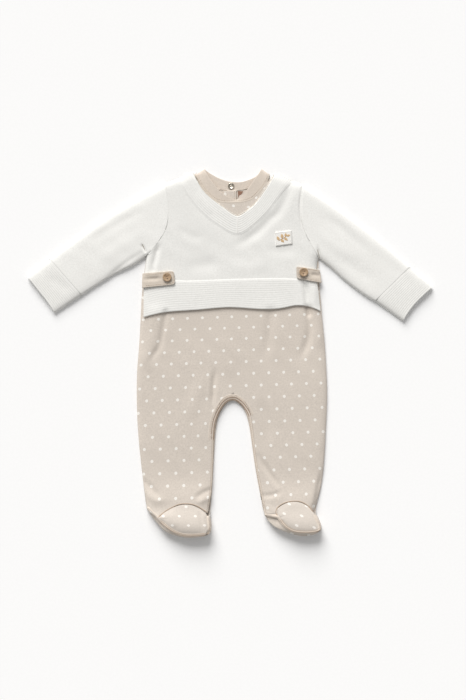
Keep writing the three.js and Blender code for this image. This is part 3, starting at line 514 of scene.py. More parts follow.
@dataclass(frozen=True)
class WoodFinish:
    """Turned hardwood under a thin clear coat, with its grain running across the button."""

    name: str
    light: Colour
    dark: Colour

    def material(self) -> bpy.types.Material:
        """Builds the wood's material.

        Returns:
            The material.
        """
        board = Board(self.name)
        grain = board.noise(160.0, (1.0, 9.0, 9.0), 4)
        pores = board.noise(1900.0, (1.0, 12.0, 1.0), 2)
        colour = board.blend(board.spread(grain, 0, 1), linear(self.light), linear(self.dark))
        colour = board.blend(board.spread(pores, 0.0, 0.35), colour, linear(self.dark))
        board.put(board.shader.inputs["Base Color"], colour)
        board.put(board.shader.inputs["Roughness"], board.spread(grain, 0.42, 0.58))
        board.shader.inputs["Coat Weight"].default_value = 0.12
        board.shader.inputs["Coat Roughness"].default_value = 0.3
        board.relief(pores, 0.3, 0.00008)
        return board.material


@dataclass(frozen=True)
class MetalFinish:
    """Pressed metal of a snap, faintly brushed round by its tool."""

    name: str
    colour: Colour
    roughness: float = 0.3

    def material(self) -> bpy.types.Material:
        """Builds the metal's material.

        Returns:
            The material.
        """
        board = Board(self.name)
        scratches = board.noise(2400.0, (1.0, 0.2, 1.0), 2)
        base = linear(self.colour)
        dark = tuple(channel * 0.8 for channel in base[:3]) + (1.0,)
        board.put(board.shader.inputs["Base Color"], board.blend(board.spread(scratches, 0, 1), dark, base))
        board.shader.inputs["Metallic"].default_value = 1.0
        board.put(board.shader.inputs["Roughness"], board.spread(scratches, self.roughness, self.roughness + 0.12))
        board.relief(scratches, 0.15, 0.00004)
        return board.material


@dataclass(frozen=True)
class FloorFinish:
    """Plain white paper that the studio light almost bleaches."""

    name: str
    colour: Colour
    glow: float

    def material(self) -> bpy.types.Material:
        """Builds the floor's material.

        Returns:
            The material.
        """
        board = Board(self.name)
        fibres = board.noise(300.0, (1, 1, 1), 2)
        base = linear(self.colour)
        soft = tuple(channel * 0.985 for channel in base[:3]) + (1.0,)
        board.put(board.shader.inputs["Base Color"], board.blend(board.spread(fibres, 0, 1), soft, base))
        board.shader.inputs["Roughness"].default_value = 0.95
        board.shader.inputs["Specular IOR Level"].default_value = 0.1
        board.shader.inputs["Emission Color"].default_value = (1, 1, 1, 1)
        board.shader.inputs["Emission Strength"].default_value = self.glow
        return board.material


Finish = JerseyFinish | ThreadFinish | WoodFinish | MetalFinish | FloorFinish

WHITE_JERSEY = JerseyFinish("white_jersey", (238, 237, 233), shade=0.09, wale=1.4, course=1.1, mottle=560.0)
# Painted light: a lighter copy of the white jersey for the sleeves, brightened to offset the shade where they turn away
# from the light.
SLEEVE_PAINTED_LIGHT_JERSEY = JerseyFinish("sleeve_jersey_painted_light", (242, 241, 237), shade=0.09, wale=1.4, course=1.1, mottle=560.0)
WHITE_RIB = JerseyFinish("white_rib", (239, 238, 234), shade=0.07, wale=1.1, course=1.0)
DOTTED = JerseyFinish("dotted_jersey", (217, 207, 196), shade=0.13, mottle=520.0, dots=(240, 236, 229))
# Painted shade: a slightly darker copy of the dotted jersey for the foot uppers, toned down where the lifted toes tilt
# them toward the light.
DOTTED_FOOT_PAINTED_SHADE = JerseyFinish("dotted_foot_jersey_painted_shade", (214, 205, 195), shade=0.1, mottle=520.0, dots=(240, 235, 228))
BEIGE = JerseyFinish("beige_jersey", (222, 210, 197), shade=0.09)
BEIGE_TAB = JerseyFinish("beige_tab", (209, 198, 185), shade=0.11)
PATCH_WEAVE = JerseyFinish("patch_weave", (244, 242, 238), shade=0.03, wale=0.5, course=0.5)
CREAM_THREAD = ThreadFinish("cream_thread", (232, 228, 219))
BEIGE_THREAD = ThreadFinish("beige_thread", (199, 182, 160))
# Darker beige seam thread: partly the thread's own colour, partly painted shade of the crevices at the seams.
SHADOW_THREAD = ThreadFinish("seam_thread", (186, 164, 143))
# Painted shade: a dark ridge colour drawn along the underarm puckers, standing in for the shadow in their creases.
PUCKER_PAINTED_SHADE = ThreadFinish("pucker_shade", (172, 163, 149))
DARK_THREAD = ThreadFinish("crotch_thread", (156, 128, 104))
# Painted shade: a slightly darker grey ridge colour that draws the thin shade line along the V band's left inner edge.
GREY_EDGE_SHADE = ThreadFinish("grey_edge_shade", (226, 224, 217))
LEAF_THREAD = ThreadFinish("leaf_thread", (213, 180, 136))
STEM_THREAD = ThreadFinish("stem_thread", (166, 132, 98))
BUTTON_WOOD = WoodFinish("button_wood", (196, 170, 140), (158, 130, 100))
SNAP_METAL = MetalFinish("snap_metal", (208, 200, 186))
SNAP_DARK = MetalFinish("snap_shadow", (72, 64, 56), 0.5)
# Painted shade: dark brown cloth colour for the flat sheet laid where the placket's edges part, standing in for the
# shadowed inside.
PLACKET_PAINTED_SHADE = JerseyFinish("placket_painted_shade", (150, 116, 98), shade=0.2)
PAPER = FloorFinish("white_paper", (252, 252, 252), 0.015)


class Wardrobe:
    """Keeps one material for each finish."""

    def __init__(self) -> None:
        """Starts with no materials."""
        self.made: dict[str, bpy.types.Material] = {}

    def of(self, finish: Finish) -> bpy.types.Material:
        """The finish's material, made at its first use.

        Args:
            finish: the finish wanted.

        Returns:
            Its material.
        """
        if finish.name not in self.made:
            self.made[finish.name] = finish.material()
        return self.made[finish.name]


WARDROBE = Wardrobe()


# ---------------------------------------------------------------- grain and print


class Grain(Enum):
    """Direction of the wales, as degrees that they lean from the garment's length."""

    UPRIGHT = 0.0
    LEFT_SLEEVE = -54.0
    RIGHT_SLEEVE = 51.0
    ACROSS = 90.0


DOT_COLUMN = 21.2
DOT_ROW = 16.4


@dataclass(frozen=True)
class BodyPrint:
    """The dots of the lower body: rows rise a little to the right and stand wider on the legs."""

    middle: float = -63.0
    tilt: float = 0.0332
    rows: tuple[float, ...] = (64.4, 49.1, 33.6, 18.3, 2.1, -14.0, -30.7, -47.5, -64.4, -81.5, -98.7, -115.5, -132.3, -149.1, -166.6, -184.1, -201.6, -219.1)
    first_row: int = -1
    columns_at_waist: tuple[float, ...] = (-121.2, -99.7, -80.1, -59.4, -38.5, -17.5, 2.4, 22.8, 43.3, 63.6, 83.3, 104.0, 123.2)
    columns_at_knee: tuple[float, ...] = (-130.2, -108.2, -85.8, -64.0, -44.8, -25.2, -1.4, 22.4, 43.8, 66.1, 87.8, 108.9, 130.1)
    first_column: int = -3
    columns_at_ankle: tuple[float, ...] = (-132.4, -109.8, -87.1, -64.4, -41.7, -19.3, 4.2, 28.0, 52.5, 74.3, 95.6, 116.9, 138.3)
    stations: tuple[float, float, float] = (1.0, 10.0, 14.0)

    def count(self, at: np.ndarray) -> np.ndarray:
        """Counts columns and rows of dots at points of the cloth.

        Args:
            at: x and y in millimetres, one row for each point.

        Returns:
            Column and row numbers, whole where a dot may stand.
        """
        x, y = at[:, 0], at[:, 1]
        level = y - (x - self.middle) * self.tilt
        heights = np.array(self.rows)
        numbers = np.arange(len(heights)) + self.first_row
        row = np.interp(-level, -heights, numbers)
        row = np.where(level > heights[0], numbers[0] - (level - heights[0]) / 15.5, row)
        row = np.where(level < heights[-1], numbers[-1] + (heights[-1] - level) / 17.5, row)
        known = list(zip(self.columns_at_waist, self.columns_at_knee, self.columns_at_ankle))
        column = np.full(len(x), float(self.first_column))
        for i in range(len(known) - 1):
            left = np.interp(row, self.stations, known[i])
            right = np.interp(row, self.stations, known[i + 1])
            share = (x - left) / (right - left)
            inside = share >= 0 if i else np.full(len(x), True)
            column = np.where(inside, self.first_column + i + share, column)
        return np.column_stack([column, row])


@dataclass(frozen=True)
class PanelPrint:
    """The dots of a small panel, an even lattice of its own.

    Attributes:
        origin: a dot's place in millimetres.
        pitch: distance from dot to dot across and from row to row.
        slant: how far each row steps aside for each millimetre down.
        tilt: how far a row sinks for each millimetre to the right.
    """

    origin: Point
    pitch: tuple[float, float]
    slant: float = 0.0
    tilt: float = 0.0

    def count(self, at: np.ndarray) -> np.ndarray:
        """Counts columns and rows of dots at points of the cloth.

        Args:
            at: x and y in millimetres, one row for each point.

        Returns:
            Column and row numbers, whole where a dot may stand.
        """
        right = at[:, 0] - self.origin[0]
        down = self.origin[1] - at[:, 1]
        row = (down - self.tilt * right) / self.pitch[1]
        column = (right - self.slant * down) / self.pitch[0]
        return np.column_stack([column, row])


@dataclass(frozen=True)
class FrontPrint:
    """The front panel's dots: the lower body's, and those of the insert that shows in the V."""

    body: BodyPrint = BodyPrint()
    insert: PanelPrint = PanelPrint((4.9, 206.2), (21.0, 14.4), 0.0, 0.087)
    insert_from: float = 150.0

    def count(self, at: np.ndarray) -> np.ndarray:
        """Counts columns and rows of dots at points of the cloth.

        Args:
            at: x and y in millimetres, one row for each point.

        Returns:
            Column and row numbers, whole where a dot may stand.
        """
        high = (at[:, 1] > self.insert_from)[:, None]
        return np.where(high, self.insert.count(at), self.body.count(at))


Print = BodyPrint | PanelPrint | FrontPrint


def lay_map(mesh: bpy.types.Mesh, layer: str, coordinates: np.ndarray) -> None:
    """Writes a map onto a mesh from coordinates at its vertices.

    Args:
        mesh: the mesh.
        layer: the map's name.
        coordinates: two numbers for each vertex.
    """
    corners = np.empty(len(mesh.loops), np.int32)
    mesh.loops.foreach_get("vertex_index", corners)
    laid = mesh.uv_layers.new(name=layer)
    laid.uv.foreach_set("vector", coordinates[corners].astype(np.float32).ravel())


def vertex_places(mesh: bpy.types.Mesh) -> np.ndarray:
    """Vertex places of a mesh.

    Args:
        mesh: the mesh, in metres.

    Returns:
        An array of x, y and z in millimetres.
    """
    where = np.empty(len(mesh.vertices) * 3)
    mesh.vertices.foreach_get("co", where)
    return where.reshape(-1, 3) / MM


def lay_grain(mesh: bpy.types.Mesh, grain: Grain) -> None:
    """Lays the map that the knit follows.

    Args:
        mesh: the cloth's mesh.
        grain: direction of its wales.
    """
    where = vertex_places(mesh)
    lean = math.radians(grain.value)
    across = where[:, 0] * math.cos(lean) + where[:, 1] * math.sin(lean)
    along = where[:, 1] * math.cos(lean) - where[:, 0] * math.sin(lean)
    along = along + where[:, 2]
    lay_map(mesh, "grain", np.column_stack([across, along]))


# ---------------------------------------------------------------- pieces


def show(mesh: bpy.types.Mesh, name: str, finish: Finish) -> bpy.types.Object:
    """Puts a finished mesh into the scene as a piece that rides with the romper.

    Args:
        mesh: the piece's mesh.
        name: the piece's name.
        finish: its finish.

    Returns:
        The piece.
    """
    mesh.materials.clear()
    mesh.materials.append(WARDROBE.of(finish))
    piece = bpy.data.objects.new(name, mesh)
    bpy.context.scene.collection.objects.link(piece)
    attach(piece, "root")
    log.info("%s: %d faces", name, len(mesh.polygons))
    return piece


class Refining(Enum):
    """How a panel's wall is made finer: rounded into curves, or kept as ribbed."""

    ROUNDED = "CATMULL_CLARK"
    RIBBED = "SIMPLE"


@dataclass
class Panel:
    """One cut piece of cloth, a thin closed wall refined from its solid and laid in folds.

    Attributes:
        node: the solid that it stands for.
        finish: its cloth.
        slot: the record's material slot; not used.
        cut: width and length of the flat cut in metres; not used.
        cut_area: the cut's area in square metres where it isn't a rectangle; not used.
        rests_on: what it lies on; not used.
        levels: how many times each face is divided in four.
        refining: how the division treats its form.
        grain: direction of its wales.
        dots: how its print is counted, if it has one.
        held: how the sheet lies; not used.
        soft_corners: whether its corners are turned and rounded.
        rib_ease: how far its ribs are stretched flat, 0 to 1.
    """

    node: str
    finish: Finish
    slot: str
    cut: tuple[float, float]
    cut_area: Optional[float] = None
    rests_on: tuple[str, ...] = ("floor",)
    levels: int = 2
    refining: Refining = Refining.ROUNDED
    grain: Grain = Grain.UPRIGHT
    dots: Optional[Print] = None
    held: str = "laid"
    soft_corners: bool = False
    rib_ease: float = 0.0

    def breadth(self, face: bmesh.types.BMFace, edge: bmesh.types.BMEdge) -> float:
        """Breadth of a face, which is narrow where the cloth's cut edge shows.

        Args:
            face: the face.
            edge: one of its edges, which alone counts where the piece's corners are soft.

        Returns:
            The breadth in metres.
        """
        longest = max(side.calc_length() for side in face.edges)
        return face.calc_area() / (edge.calc_length() if self.soft_corners else longest)

    def refined(self) -> bpy.types.Mesh:
        """The solid's wall with its grid restored and made finer.

        Returns:
            The finer mesh.
        """
        shell = bmesh.new()
        shell.from_mesh(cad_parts[self.node].data)
        bmesh.ops.remove_doubles(shell, verts=shell.verts, dist=2e-6)
        bmesh.ops.join_triangles(
            shell, faces=shell.faces[:], angle_face_threshold=0.6, angle_shape_threshold=math.pi
        )
        crease = shell.edges.layers.float.new("crease_edge")
        for edge in shell.edges:
            if len(edge.link_faces) == 2 and edge.calc_face_angle(0.0) > SHARP_TURN:
                narrow = min(self.breadth(face, edge) for face in edge.link_faces)
                edge[crease] = 1.0 if narrow < CUT_EDGE else 0.0
        if self.rib_ease:
            bmesh.ops.smooth_vert(shell, verts=shell.verts, factor=self.rib_ease, use_axis_z=True)
        coarse = bpy.data.meshes.new(self.node + "_coarse")
        shell.to_mesh(coarse)
        shell.free()
        holder = bpy.data.objects.new(self.node + "_holder", coarse)
        bpy.context.scene.collection.objects.link(holder)
        finer = holder.modifiers.new("finer", "SUBSURF")
        finer.levels = finer.render_levels = self.levels
        finer.subdivision_type = self.refining.value
        finer.boundary_smooth = "PRESERVE_CORNERS"
        bpy.context.view_layer.update()
        graph = bpy.context.evaluated_depsgraph_get()
        mesh = bpy.data.meshes.new_from_object(holder.evaluated_get(graph))
        bpy.data.objects.remove(holder)
        bpy.data.meshes.remove(coarse)
        while mesh.uv_layers:
            mesh.uv_layers.remove(mesh.uv_layers[0])
        return mesh

    def build(self, drape: Drape, shape: Optional[Callable[[np.ndarray], np.ndarray]] = None) -> bpy.types.Object:
        """Builds the panel and dresses it.

        Args:
            drape: the garment's folds.
            shape: a change of its own to its points in millimetres, before the folds.

        Returns:
            The panel's piece.
        """
        mesh = self.refined()
        mesh.name = self.node + "_cloth"
        flat = vertex_places(mesh)
        lay_grain(mesh, self.grain)
        if self.dots is not None:
            lay_map(mesh, "print", self.dots.count(flat[:, :2]))
        if shape is not None:
            mesh.vertices.foreach_set("co", (shape(flat) * MM).ravel())
        drape.settle(mesh)
        mesh.shade_smooth()
        mesh.set_sharp_from_angle(angle=SHARP_TURN)
        piece = show(mesh, self.node + "_cloth", self.finish)
        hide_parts(self.node)
        return piece


class Ground:
    """The cloth's upper surface, read wherever something small is sewn onto it."""

    def __init__(self) -> None:
        """Starts with nothing to lie on."""
        self.trees: list[BVHTree] = []

    def add(self, piece: bpy.types.Object) -> None:
        """Takes a piece's surface in.

        Args:
            piece: a piece that others lie on.
        """
        mesh = piece.data
        points = [vertex.co.copy() for vertex in mesh.vertices]
        faces = [tuple(face.vertices) for face in mesh.polygons]
        self.trees.append(BVHTree.FromPolygons(points, faces))

    def height(self, x: float, y: float) -> float:
        """Height of the topmost cloth.

        Args:
            x: place across in millimetres.
            y: place along in millimetres.

        Returns:
            The height in millimetres, 0 on the floor.
        """
        top = 0.0
        for tree in self.trees:
            hit = tree.ray_cast(Vector((x * MM, y * MM, 0.05)), Vector((0, 0, -1)))
            if hit[0] is not None:
                top = max(top, hit[0].z / MM)
        return top

    def over_gap(self, x: float, y: float, reach: float = 0.7) -> float:
        """Height of the cloth beside a seam's gap, where the gap itself is deep.

        Args:
            x: place across in millimetres.
            y: place along in millimetres.
            reach: how far to look each way in millimetres.

        Returns:
            The height in millimetres.
        """
        places = ((0, 0), (reach, 0), (-reach, 0), (0, reach), (0, -reach))
        return max(self.height(x + right, y + up) for right, up in places)

    def heights(self, run: np.ndarray, ease: int = 0, reach: float = 0.7) -> np.ndarray:
        """Heights along a run of points, evened out along it.

        Args:
            run: x and y in millimetres, one row for each point.
            ease: how many times to even the heights.
            reach: how far to look beside the run for cloth in millimetres.

        Returns:
            The heights in millimetres.
        """
        result = np.array([self.over_gap(float(x), float(y), reach) for x, y in run])
        for _ in range(ease):
            middle = (result[:-2] + 2 * result[1:-1] + result[2:]) / 4
            result = np.r_[result[0], middle, result[-1]]
        return result


def mesh_of(name: str, points: Sequence[Sequence[float]], faces: Sequence[Sequence[int]]) -> bpy.types.Mesh:
    """A smooth mesh from points in millimetres, none of them below the floor.

    Args:
        name: the mesh's name.
        points: its points.
        faces: its faces by point number.

    Returns:
        The mesh, in metres.
    """
    mesh = bpy.data.meshes.new(name)
    mesh.from_pydata([(x * MM, y * MM, max(z, 0.0) * MM) for x, y, z in points], [], faces)
    mesh.shade_smooth()
    mesh.set_sharp_from_angle(angle=math.radians(70))
    mesh.update()
    return mesh


@dataclass
class SeamRidge:
    """Cloth or thread that stands up in a thin rounded ridge along a line.

    Attributes:
        line: where it runs.
        width: its breadth in millimetres.
        height: how far it stands up in millimetres.
        sink: how far its edges go into the cloth in millimetres.
        reach: how far beside the line there is cloth to lie on in millimetres.
    """

    line: Line
    width: float
    height: float
    sink: float = 0.25
    reach: float = 0.7

    def build(self, name: str, finish: Finish, slot: str, ground: Ground) -> bpy.types.Object:
        """Builds the ridge on the cloth below it.

        Args:
            name: the piece's name.
            finish: its finish.
            slot: the record's material slot; not used.
            ground: the cloth that it lies on.

        Returns:
            The ridge's piece.
        """
        run = self.line.sampled(1.6)
        ahead = np.gradient(run, axis=0)
        ahead /= np.linalg.norm(ahead, axis=1)[:, None]
        aside = np.column_stack([ahead[:, 1], -ahead[:, 0]])
        ends = np.minimum(np.arange(len(run)), np.arange(len(run))[::-1])
        close = np.sin(np.minimum(1.0, ends / 2.0) * math.pi / 2)
        reach = aside * (self.width * (0.3 + 0.7 * close))[:, None]
        left = ground.heights(run - 0.5 * reach, 2, 0.3)
        middle = ground.heights(run, 2, self.reach)
        right = ground.heights(run + 0.5 * reach, 2, 0.3)
        tracks = [
            (-0.5, left - self.sink),
            (-0.3, (left + 2 * middle) / 3 + 0.55 * self.height * close),
            (0.0, middle + self.height * close),
            (0.3, (right + 2 * middle) / 3 + 0.55 * self.height * close),
            (0.5, right - self.sink),
        ]
        points: list[tuple[float, float, float]] = []
        for i in range(len(run)):
            for share, level in tracks:
                x, y = run[i] + reach[i] * share
                points.append((float(x), float(y), float(level[i])))
        faces = []
        count = len(tracks)
        for i in range(len(run) - 1):
            for j in range(count - 1):
                a = i * count + j
                faces.append((a, a + count, a + count + 1, a + 1))
            faces.append((i * count, i * count + count - 1, (i + 1) * count + count - 1, (i + 1) * count))
        faces.append(tuple(range(count)))
        faces.append(tuple(reversed(range((len(run) - 1) * count, len(run) * count))))
        mesh = mesh_of(name, points, faces)
        lay_grain(mesh, Grain.UPRIGHT)
        return show(mesh, name, finish)


@dataclass
class StitchRow:
    """A row of machine stitches, each a short rounded length of thread pulled into the cloth.

    Attributes:
        line: where it runs.
        pitch: distance from stitch to stitch in millimetres.
        length: length of a stitch in millimetres.
        gauge: thickness of the thread in millimetres.
        turned: degrees that each stitch is turned from the line.
    """

    line: Line
    pitch: float = 2.6
    length: float = 2.0
    gauge: float = 0.42
    turned: float = 0.0

    def stitches(self, ground: Ground) -> tuple[list[tuple[float, float, float]], list[tuple[int, ...]]]:
        """The stitches' points and faces.

        Args:
            ground: the cloth that they lie on.

        Returns:
            Points in millimetres, and faces by point number.
        """
        run = self.line.sampled(self.pitch)
        ahead = np.gradient(run, axis=0)
        ahead /= np.linalg.norm(ahead, axis=1)[:, None]
        turn = math.radians(self.turned)
        spin = np.array([[math.cos(turn), -math.sin(turn)], [math.sin(turn), math.cos(turn)]])
        points: list[tuple[float, float, float]] = []
        faces: list[tuple[int, ...]] = []
        half = self.gauge / 2
        stations = [(-0.5, 0.35, -0.25), (-0.3, 1.0, 0.12), (0.3, 1.0, 0.12), (0.5, 0.35, -0.25)]
        around = [(math.cos(a), math.sin(a)) for a in np.linspace(0, 2 * math.pi, 6, endpoint=False)]
        for i in range(len(run)):
            along = spin @ ahead[i]
            aside = np.array([along[1], -along[0]])
            start = len(points)
            for reach, girth, lift in stations:
                centre = run[i] + along * reach * self.length
                base = ground.height(float(centre[0]), float(centre[1])) + lift
                for c, s in around:
                    x, y = centre + aside * c * half * girth
                    points.append((float(x), float(y), float(base + s * half * girth)))
            for k in range(len(stations) - 1):
                for j in range(6):
                    a, b = start + k * 6 + j, start + k * 6 + (j + 1) % 6
                    faces.append((a, b, b + 6, a + 6))
            faces.append(tuple(reversed(range(start, start + 6))))
            faces.append(tuple(range(start + 18, start + 24)))
        return points, faces


def sew(name: str, rows: Sequence[StitchRow], finish: Finish, ground: Ground) -> bpy.types.Object:
    """Sews several rows as one piece.

    Args:
        name: the piece's name.
        rows: the rows of stitches.
        finish: the thread's finish.
        ground: the cloth that they lie on.

    Returns:
        The stitches' piece.
    """
    points: list[tuple[float, float, float]] = []
    faces: list[tuple[int, ...]] = []
    for row in rows:
        more_points, more_faces = row.stitches(ground)
        shift = len(points)
        points.extend(more_points)
        faces.extend(tuple(shift + index for index in face) for face in more_faces)
    return show(mesh_of(name, points, faces), name, finish)


def turned_part(profile: Sequence[Point], centre: Point, base: float, sides: int = 40) -> tuple[list, list]:
    """A round part turned from its profile.

    Args:
        profile: radius and height of each step, from the middle outward and down.
        centre: its middle in millimetres.
        base: height of its underside in millimetres.
        sides: how many sides it has.

    Returns:
        Points in millimetres, and faces by point number.
    """
    points = []
    for radius, height in profile:
        for i in range(sides):
            angle = 2 * math.pi * i / sides
            points.append((centre[0] + radius * math.cos(angle), centre[1] + radius * math.sin(angle), base + height))
    faces = []
    for k in range(len(profile) - 1):
        for i in range(sides):
            a, b = k * sides + i, k * sides + (i + 1) % sides
            faces.append((a, a + sides, b + sides, b))
    faces.append(tuple(range(sides)))
    last = (len(profile) - 1) * sides
    faces.append(tuple(reversed(range(last, last + sides))))
    return points, faces


# ---------------------------------------------------------------- sub-assemblies


@dataclass
class Body:
    """The footed body: front and back panel, the back placket, and the snap bands of the inner legs."""

    front: Panel = field(default_factory=lambda: Panel(
        "front_body", DOTTED, "dotted_jersey", (0.295, 0.53), 0.100, ("back_body",), 3, dots=FrontPrint()))
    back: Panel = field(default_factory=lambda: Panel(
        "back_body", DOTTED, "dotted_jersey", (0.295, 0.52), 0.101, dots=BodyPrint()))
    placket: Panel = field(default_factory=lambda: Panel(
        "back_placket", DOTTED, "dotted_jersey", (0.018, 0.0224), None, ("back_body",), 3,
        dots=PanelPrint((-7.0, 222.7), (21.0, 21.0))))
    front_band: Panel = field(default_factory=lambda: Panel(
        "leg_band_front", BEIGE, "beige_band", (0.012, 0.37), 0.0016, ("leg_band_back",)))
    back_band: Panel = field(default_factory=lambda: Panel(
        "leg_band_back", BEIGE, "beige_band", (0.012, 0.37), 0.0017))
    inseam: Line = Line(((45.6, -214.9), (42.8, -198.9), (36.1, -165.9), (31.5, -135.1), (30.0, -121.1), (27.2, -99.4), (22.3, -82.6), (14.3, -71.4), (4.1, -65.7), (-5.0, -69.9), (-12.0, -79.1), (-18.2, -92.0), (-20.9, -107.9), (-22.0, -130.1), (-23.2, -163.1), (-23.4, -179.9), (-25.6, -198.9), (-28.3, -214.9)))
    arch: Line = Line(((24.6, -88.9), (21.0, -81.2), (13.4, -71.4), (4.1, -66.2), (-4.5, -69.9), (-11.5, -79.1), (-16.8, -90.3), (-19.6, -101.5), (-21.1, -121.1)))
    placket_stitches: tuple[Line, ...] = (
        Line(((6.2, 228.1), (6.2, 214.3))),
        Line(((8.8, 228.1), (8.8, 214.1))),
    )
    placket_gap: tuple[Point, ...] = ((10.9, 227.5), (18.8, 226.9), (16.0, 222.7), (12.9, 220.8), (11.3, 217.7))

    def build(self, drape: Drape, ground: Ground) -> None:
        """Builds and dresses the body.

        Args:
            drape: the garment's folds.
            ground: takes the panels that small pieces lie on.
        """
        ground.add(self.back.build(drape))
        ground.add(self.placket.build(drape))
        self.back_band.build(drape)
        ground.add(self.front.build(drape))
        ground.add(self.front_band.build(drape))
        sew("inseam_stitches", [StitchRow(self.inseam.beside(1.6), 3.0, 2.2), StitchRow(self.arch.beside(7.2), 3.0, 2.2)],
            BEIGE_THREAD, ground)
        SeamRidge(self.arch.beside(2.4), 1.2, 0.3).build("crotch_edge", DARK_THREAD, "beige_band", ground)
        SeamRidge(self.arch.beside(5.4), 1.1, 0.3).build("crotch_line", DARK_THREAD, "beige_band", ground)
        SeamRidge(self.arch.beside(8.9), 1.9, 0.2).build("crotch_seam", BEIGE, "beige_band", ground)
        sew("placket_stitches", [StitchRow(line, 1.5, 1.2, 0.4) for line in self.placket_stitches],
            BEIGE_THREAD, ground)
        # Lays the painted shade sheet in the placket opening.
        self.paint_placket_shade(ground)

    def paint_placket_shade(self, ground: Ground) -> bpy.types.Object:
        """A flat dark sheet of painted shade, standing in for the shaded inside where the placket's edges part.

        Args:
            ground: the cloth round it.

        Returns:
            The gap's piece.
        """
        count = len(self.placket_gap)
        middle = np.mean(np.array(self.placket_gap), axis=0)
        points = [(x, y, ground.height(x, y) + 0.12) for x, y in self.placket_gap]
        points.append((float(middle[0]), float(middle[1]), ground.height(float(middle[0]), float(middle[1])) + 0.12))
        faces = [(i, (i + 1) % count, count) for i in range(count)]
        mesh = mesh_of("placket_painted_shade", points, faces)
        lay_grain(mesh, Grain.UPRIGHT)
        return show(mesh, "placket_painted_shade", PLACKET_PAINTED_SHADE)


@dataclass
class Pullover:
    """The white layer over the chest: its front, the ribbed V band and the ribbed hem."""

    chest: Panel = field(default_factory=lambda: Panel(
        "overlay_front", WHITE_JERSEY, "white_jersey", (0.25, 0.16), 0.0228, ("front_body",), 3))
    hem: Panel = field(default_factory=lambda: Panel(
        "hem_band", WHITE_RIB, "white_rib", (0.248, 0.045), 0.0103, ("front_body",), 2, Refining.ROUNDED, Grain.ACROSS,
        rib_ease=0.4))
    band: Panel = field(default_factory=lambda: Panel(
        "v_neck_band", WHITE_RIB, "white_rib", (0.27, 0.0215), 0.0048, ("front_body",), 2, Refining.ROUNDED, rib_ease=0.2))
    hem_seam: Line = Line(((-118.3, 92.0), (-98.0, 97.0), (-75.6, 99.8), (-56.0, 99.5), (13.7, 101.9), (66.2, 102.9), (98.0, 101.5), (121.1, 99.0)))
    band_outer: Line = Line(((-70.6, 243.7), (-58.4, 220.5), (-36.0, 194.3), (-11.1, 175.8), (10.4, 166.6), (33.5, 180.3), (53.6, 199.9), (71.0, 224.3), (80.5, 235.5), (85.1, 241.5)))
    band_inner_left: Line = Line(((-51.9, 252.7), (-40.0, 230.0), (-27.0, 216.6), (-8.0, 202.4), (9.2, 191.7)))
    band_inner_right: Line = Line(((11.5, 191.9), (21.4, 197.1), (35.1, 207.5), (47.2, 225.1), (56.8, 238.8), (62.4, 250.5)))
    mitre: Line = Line(((10.2, 190.0), (10.2, 167.0)))

    def build(self, drape: Drape, ground: Ground) -> None:
        """Builds and dresses the pullover layer.

        Args:
            drape: the garment's folds.
            ground: takes the panels that small pieces lie on.
        """
        ground.add(self.chest.build(drape))
        ground.add(self.hem.build(drape))
        ground.add(self.band.build(drape))
        SeamRidge(self.hem_seam, 5.2, 0.02, 0.1).build("hem_seam", WHITE_JERSEY, "white_jersey", ground)
        SeamRidge(self.band_outer.beside(0.5), 3.6, 0.06, 0.08).build("v_band_seam", WHITE_JERSEY, "white_jersey", ground)
        # The mitre ridge takes the lighter patch cloth: a painted highlight that makes it read as a light line.
        SeamRidge(self.mitre, 1.8, 0.25, 0.1).build("v_band_mitre", PATCH_WEAVE, "white_rib", ground)
        # Left inner edge of the V band: a grey ridge with painted shade for its thin shadow line.
        SeamRidge(self.band_inner_left.beside(-0.5), 1.0, 0.15).build("v_band_edge_left", GREY_EDGE_SHADE, "white_rib", ground)
        SeamRidge(self.band_inner_right.beside(-1.0), 1.2, 0.35).build("v_band_edge_right", CREAM_THREAD, "white_rib", ground)


class Side(Enum):
    """A side of the picture."""

    LEFT = "left"
    RIGHT = "right"


@dataclass
class Sleeve:
    """A set-in sleeve with its ribbed cuff."""

    side: Side
    armhole: Line
    cuff_seam: Line
    grain: Grain
    armhole_width: float
    pucker: Line

    def build(self, drape: Drape, ground: Ground) -> None:
        """Builds and dresses the sleeve.

        Args:
            drape: the garment's folds.
            ground: takes the panels that small pieces lie on.
        """
        name = self.side.value
        # The sleeve takes the lighter copy of the white jersey, which is painted light against its shade.
        sleeve = Panel("sleeve_" + name, SLEEVE_PAINTED_LIGHT_JERSEY, "white_jersey", (0.13, 0.195), 0.0245, ("floor",), 3, grain=self.grain)
        cuff = Panel("cuff_" + name, WHITE_RIB, "white_rib", (0.142, 0.0395), None, ("floor",), 2, Refining.ROUNDED, self.grain,
                     rib_ease=0.0)
        ground.add(sleeve.build(drape))
        ground.add(cuff.build(drape))
        SeamRidge(self.cuff_seam, 3.8, 0.02, 0.1, 0.9).build("cuff_seam_" + name, WHITE_JERSEY, "white_jersey", ground)
        SeamRidge(self.armhole, self.armhole_width, 0.12, 0.08).build("armhole_seam_" + name, WHITE_JERSEY, "white_jersey", ground)
        # The pucker line is painted shade for the shadow in the underarm crease.
        SeamRidge(self.pucker, 1.1, 0.12).build("underarm_pucker_shade_" + name, PUCKER_PAINTED_SHADE, "white_jersey", ground)


